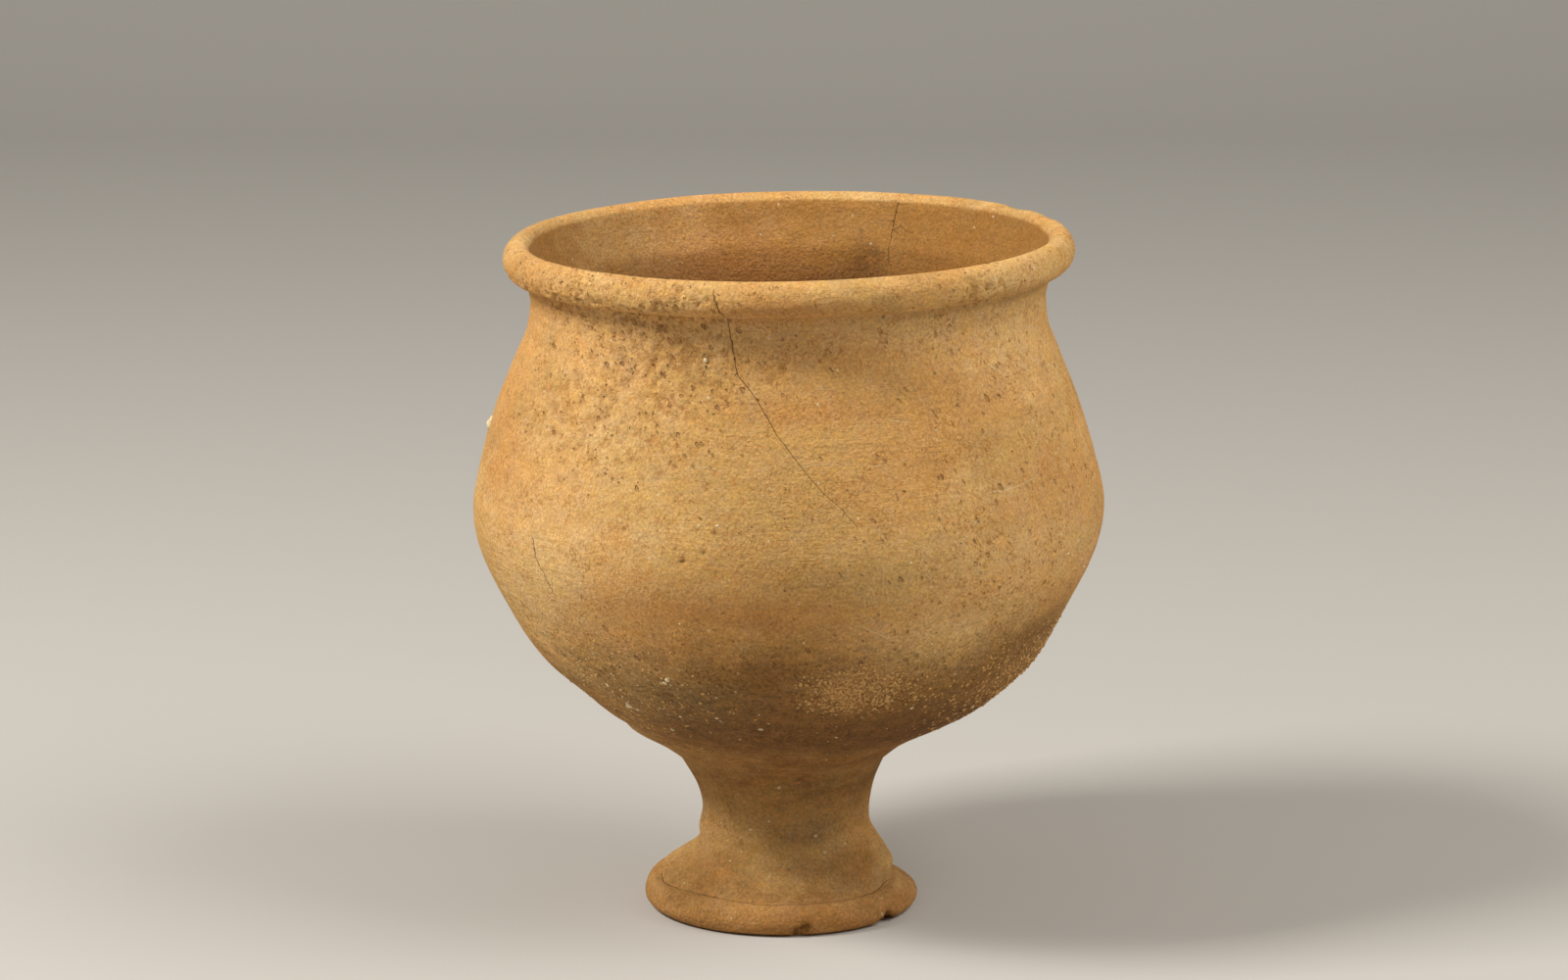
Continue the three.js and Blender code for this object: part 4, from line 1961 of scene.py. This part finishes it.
@dataclass
class Grains:
    """Lumps strewn over the skin: lime that came up through the clay, or crumbs of crust.

    Attributes:
        name: the piece's name.
        finish: what they are made of.
        placed: lumps with a known place.
        strewn: patches of further lumps, as direction, height, half width, half height and number.
        sizes: the half widths of the smallest and largest of those, in millimetres.
        faint: how faint a patch is where it ends.
        crowd: how much more common small lumps are than large ones.
        flat: how high a lump is, as a share of its width.
        sunk: how deep it sits, as a share of its half width.
        spread: how far a strewn lump strays from a corner of the skin, in millimetres.
        fineness: how finely each lump is faceted.
        uneven: how uneven it is, in millimetres.
        lengths: the least and the most that it is longer than wide.
    """

    name: str
    finish: LimeFinish | CrumbFinish
    placed: tuple[Grain, ...] = ()
    strewn: tuple[tuple[float, float, float, float, int], ...] = ()
    sizes: tuple[float, float] = (0.2, 0.5)
    faint: float = 0.08
    crowd: float = 2.0
    flat: float = 0.7
    sunk: float = 0.15
    spread: float = 0.45
    fineness: int = 1
    uneven: float = 0.45
    lengths: tuple[float, float] = (0.75, 1.45)

    def build(self, surface: Surface) -> bpy.types.Object:
        """Sets the lumps on a surface.

        Args:
            surface: the worn skin that they sit in.

        Returns:
            The piece.
        """
        draw = np.random.default_rng(SEED)
        corners = [surface.find(grain.facing, grain.height) for grain in self.placed]
        sizes = [grain.size for grain in self.placed]
        small, large = self.sizes
        for facing, height, across, along, count in self.strewn:
            spot = surface.spot(facing, height, across, along)
            corners.extend(surface.strew(spot, self.faint, count, draw))
            sizes.extend(small + (large - small) * draw.random(count) ** self.crowd)
        sizes = np.array(sizes)
        normals = surface.normals[corners]
        lift = surface.lift[corners] - self.sunk * sizes
        away = draw.normal(0.0, self.spread, (len(corners), 3))
        away -= normals * (away * normals).sum(axis=1, keepdims=True)
        away[:len(self.placed)] = 0.0
        places = (surface.places[corners] + normals * lift[:, None] + away) * MM
        source = bpy.data.meshes.new(self.name + "_places")
        source.from_pydata(places.tolist(), [], [])
        widths = source.attributes.new("size", "FLOAT", "POINT")
        widths.data.foreach_set("value", (sizes * MM).astype(np.float32))
        ways = source.attributes.new("out", "FLOAT_VECTOR", "POINT")
        ways.data.foreach_set("vector", normals.astype(np.float32).ravel())
        return self._tree().make(source, self.name)

    def _tree(self) -> GeometryTree:
        """Writes the tree that puts an uneven lump on every place.

        Returns:
            The tree. The points that go in hold how wide their lump is and which way is out.
        """
        tree = GeometryTree("Strewn lumps of " + self.name)
        flat = tree.given("Flatness", self.flat)
        uneven = tree.given("Unevenness", self.uneven)
        seed = tree.given("Seed", SEED, "NodeSocketInt")
        lump = tree.add("GeometryNodeMeshIcoSphere", {"Radius": 1.0, "Subdivisions": self.fineness})
        out = tree.add("GeometryNodeInputNamedAttribute", {"Name": "out"}, data_type="FLOAT_VECTOR")
        toward = {"Vector": out.outputs[0]}
        aligned = tree.add("FunctionNodeAlignRotationToVector", toward, axis="Z").outputs[0]
        spin = self._random(tree, 0.0, 2.0 * math.pi, seed)
        turn = tree.add("FunctionNodeEulerToRotation", {0: tree.combine(0.0, 0.0, spin)}).outputs[0]
        turned = tree.add("FunctionNodeRotateRotation", {"Rotation": aligned, "Rotate By": turn},
                          rotation_space="LOCAL").outputs[0]
        long = self._random(tree, *self.lengths, tree.math("ADD", seed, 1.0))
        size = tree.attribute("size")
        scale = tree.combine(tree.times(size, long), size, tree.times(size, flat))
        strewn = tree.add("GeometryNodeInstanceOnPoints", {
            "Points": tree.entry.outputs[0], "Instance": lump.outputs[0], "Rotation": turned,
            "Scale": scale}).outputs[0]
        real = tree.add("GeometryNodeRealizeInstances", {"Geometry": strewn}).outputs[0]
        cloud = tree.minus(tree.noise(tree.millimetres(tree.here()), size=0.8, detail=2.0), 0.5)
        tree.finish(tree.push(real, tree.times(tree.times(cloud, uneven), MM)), self.finish.material())
        return tree

    @staticmethod
    def _random(tree: GeometryTree, least: float, most: float, seed: Value) -> bpy.types.NodeSocket:
        """Writes a random number for each place.

        Args:
            tree: the tree to write it in.
            least: the smallest that it may be.
            most: the largest.
            seed: what it is drawn with.

        Returns:
            The number.
        """
        inputs = {"Min": least, "Max": most, "Seed": seed}
        return tree.add("FunctionNodeRandomValue", inputs, data_type="FLOAT").outputs[1]


@dataclass(frozen=True)
class Softbox:
    """A soft square light, placed by where it stands as seen from the goblet.

    Attributes:
        name: its name.
        around: its direction in degrees, from the front towards the right.
        above: how high it stands, in degrees.
        distance: how far away it is, in metres.
        size: how wide it is, in metres.
        power: its power in watts.
    """

    name: str
    around: float
    above: float
    distance: float
    size: float
    power: float

    def hang(self, aim: Vector) -> None:
        """Hangs the light.

        Args:
            aim: the place that it faces.
        """
        data = bpy.data.lights.new(self.name, "AREA")
        data.size = self.size
        data.energy = self.power
        light = bpy.data.objects.new(self.name, data)
        bpy.context.scene.collection.objects.link(light)
        around, above = math.radians(self.around), math.radians(self.above)
        level = math.cos(above)
        way = Vector((math.sin(around) * level, -math.cos(around) * level, math.sin(above)))
        light.location = aim + way * self.distance
        light.rotation_euler = way.to_track_quat("Z", "Y").to_euler()


@dataclass(frozen=True)
class Studio:
    """A plain pale floor and backdrop, soft lights, and the camera at the photograph's viewing angle.

    Attributes:
        pitch: how far down the camera looks, in degrees.
        distance: how far from its aim it stands, in metres.
        lens: its focal length in millimetres.
        sensor: how wide its picture is, in millimetres.
        aim: the place that it looks at.
        paper: the colour of the floor and backdrop.
        matt: how matt they are.
        reach: how far the floor reaches in front and to the sides, and how high the backdrop is.
        wall: how far behind the goblet the backdrop stands, in metres.
        bend: the radius of the curve between them, in metres.
        bend_steps: how many steps the curve has.
        ambient: how strong the light from all round is.
        lights: the soft lights.
    """

    pitch: float = 12.1
    distance: float = 1200.6 * MM
    lens: float = 130.5
    sensor: float = 36.0
    aim: tuple = (-0.93 * MM, 0.0, 89.9 * MM)
    paper: tuple = linear(186, 180, 170)
    matt: float = 0.95
    reach: float = 3.0
    wall: float = 1.6
    bend: float = 0.5
    bend_steps: int = 16
    ambient: float = 0.27
    lights: tuple[Softbox, ...] = (
        Softbox("key_light", -70.0, 46.0, 1.2, 0.35, 14.8),
        Softbox("fill_light", 70.0, 46.0, 1.2, 0.8, 10.2),
    )

    def build(self) -> None:
        """Builds the floor, the lights and the camera."""
        self._backdrop()
        for light in self.lights:
            light.hang(Vector(self.aim))
        self._world()
        self._camera()

    def _backdrop(self) -> None:
        """A floor that curves up into a wall."""
        start = self.wall - self.bend
        rows = [(-self.reach, 0.0), (start, 0.0)]
        for step in range(1, self.bend_steps + 1):
            angle = 0.5 * math.pi * step / self.bend_steps
            rows.append((start + self.bend * math.sin(angle), self.bend * (1.0 - math.cos(angle))))
        rows.append((self.wall, self.reach))
        corners = [(side * self.reach, y, z) for y, z in rows for side in (-1.0, 1.0)]
        faces = [(2 * k, 2 * k + 1, 2 * k + 3, 2 * k + 2) for k in range(len(rows) - 1)]
        mesh = bpy.data.meshes.new("backdrop")
        mesh.from_pydata(corners, [], faces)
        mesh.shade_smooth()
        backdrop = bpy.data.objects.new("backdrop", mesh)
        bpy.context.scene.collection.objects.link(backdrop)
        material = bpy.data.materials.new("backdrop_paper")
        material.use_nodes = True
        shader = material.node_tree.nodes["Principled BSDF"]
        shader.inputs["Base Color"].default_value = self.paper
        shader.inputs["Roughness"].default_value = self.matt
        mesh.materials.append(material)

    def _world(self) -> None:
        """Even light from all round."""
        world = bpy.data.worlds.new("studio")
        world.use_nodes = True
        world.node_tree.nodes["Background"].inputs[0].default_value = (1.0, 1.0, 1.0, 1.0)
        world.node_tree.nodes["Background"].inputs[1].default_value = self.ambient
        bpy.context.scene.world = world

    def _camera(self) -> None:
        """The camera, as far away and as high up as the photograph's."""
        data = bpy.data.cameras.new("camera")
        data.lens = self.lens
        data.sensor_width = self.sensor
        camera = bpy.data.objects.new("camera", data)
        bpy.context.scene.collection.objects.link(camera)
        pitch = math.radians(self.pitch)
        back = Vector((0.0, -math.cos(pitch), math.sin(pitch)))
        camera.location = Vector(self.aim) + back * self.distance
        camera.rotation_euler = (0.5 * math.pi - pitch, 0.0, 0.0)
        bpy.context.scene.camera = camera
        bpy.context.scene.view_settings.view_transform = "Standard"


LIME_LUMPS = (
    Grain(-88.5, 104.9, 1.5), Grain(-26.4, 61.5, 0.75), Grain(-27.0, 60.6, 0.5), Grain(-43.1, 51.6, 0.95),
    Grain(-41.5, 51.2, 0.6), Grain(-43.5, 52.6, 0.5), Grain(-44.2, 55.3, 0.4), Grain(-44.9, 56.6, 0.45),
    Grain(-44.2, 53.7, 0.4), Grain(-27.7, 51.6, 0.45), Grain(-18.1, 51.9, 0.4), Grain(-7.3, 49.2, 0.45),
    Grain(-18.5, 127.5, 0.5), Grain(-12.6, 96.4, 0.4), Grain(21.5, 88.0, 0.3), Grain(55.0, 49.8, 0.6),
    Grain(30.0, 54.0, 0.4), Grain(13.2, 46.8, 0.35), Grain(-35.0, 47.0, 0.5), Grain(60.0, 84.0, 0.4),
    Grain(72.0, 78.0, 0.45), Grain(120.0, 62.0, 0.7), Grain(-150.0, 88.0, 0.6), Grain(170.0, 58.0, 0.6),
)
LIME_PATCHES = ((-37.0, 57.0, 15.0, 8.0, 80), (0.0, 60.0, 60.0, 16.0, 30))
LIME_SIZES = (0.14, 0.32)
CRUMB_PATCHES = (
    (13.5, 60.0, 8.0, 4.0, 900), (20.0, 58.0, 11.0, 4.0, 260), (66.0, 56.0, 20.0, 9.0, 900),
    (-50.0, 51.0, 12.0, 6.0, 300), (-34.0, 58.0, 18.0, 8.0, 160),
)
CRUMB_SIZES = (0.17, 0.46)

# The lean lifts the rim's highest point to this share of the height, and the worn skin keeps this far
# inside the solid's widest place.
RIM_SHARE = 1.0075
SKIN_INSET = 0.1 * MM


def settle_in(piece: bpy.types.Object) -> None:
    """Lets a piece ride with the goblet, and reports it.

    Args:
        piece: the piece.
    """
    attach(piece, ROOT)
    log.info("%s: %d facets", piece.name, len(piece.data.polygons))


def main() -> None:
    """Builds the goblet and its studio, piece by piece."""
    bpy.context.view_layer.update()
    low, high = (np.array(corner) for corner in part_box(NODE))
    width, height = float(high[0] - low[0]), float(high[2])
    section = Section(height=height / RIM_SHARE, belly=width / 2.0 - SKIN_INSET)
    body = GobletBody(section, HandMade(), Wear(), TerracottaFinish())
    goblet = body.build()
    settle_in(goblet)
    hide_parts(NODE)
    settle_in(Grains("lime_grains", LimeFinish(), LIME_LUMPS, LIME_PATCHES, LIME_SIZES).build(body.surface))
    settle_in(Grains("crust_crumbs", CrumbFinish(), (), CRUMB_PATCHES, CRUMB_SIZES).build(body.surface))
    Studio().build()


if __name__ == "__main__":
    main()
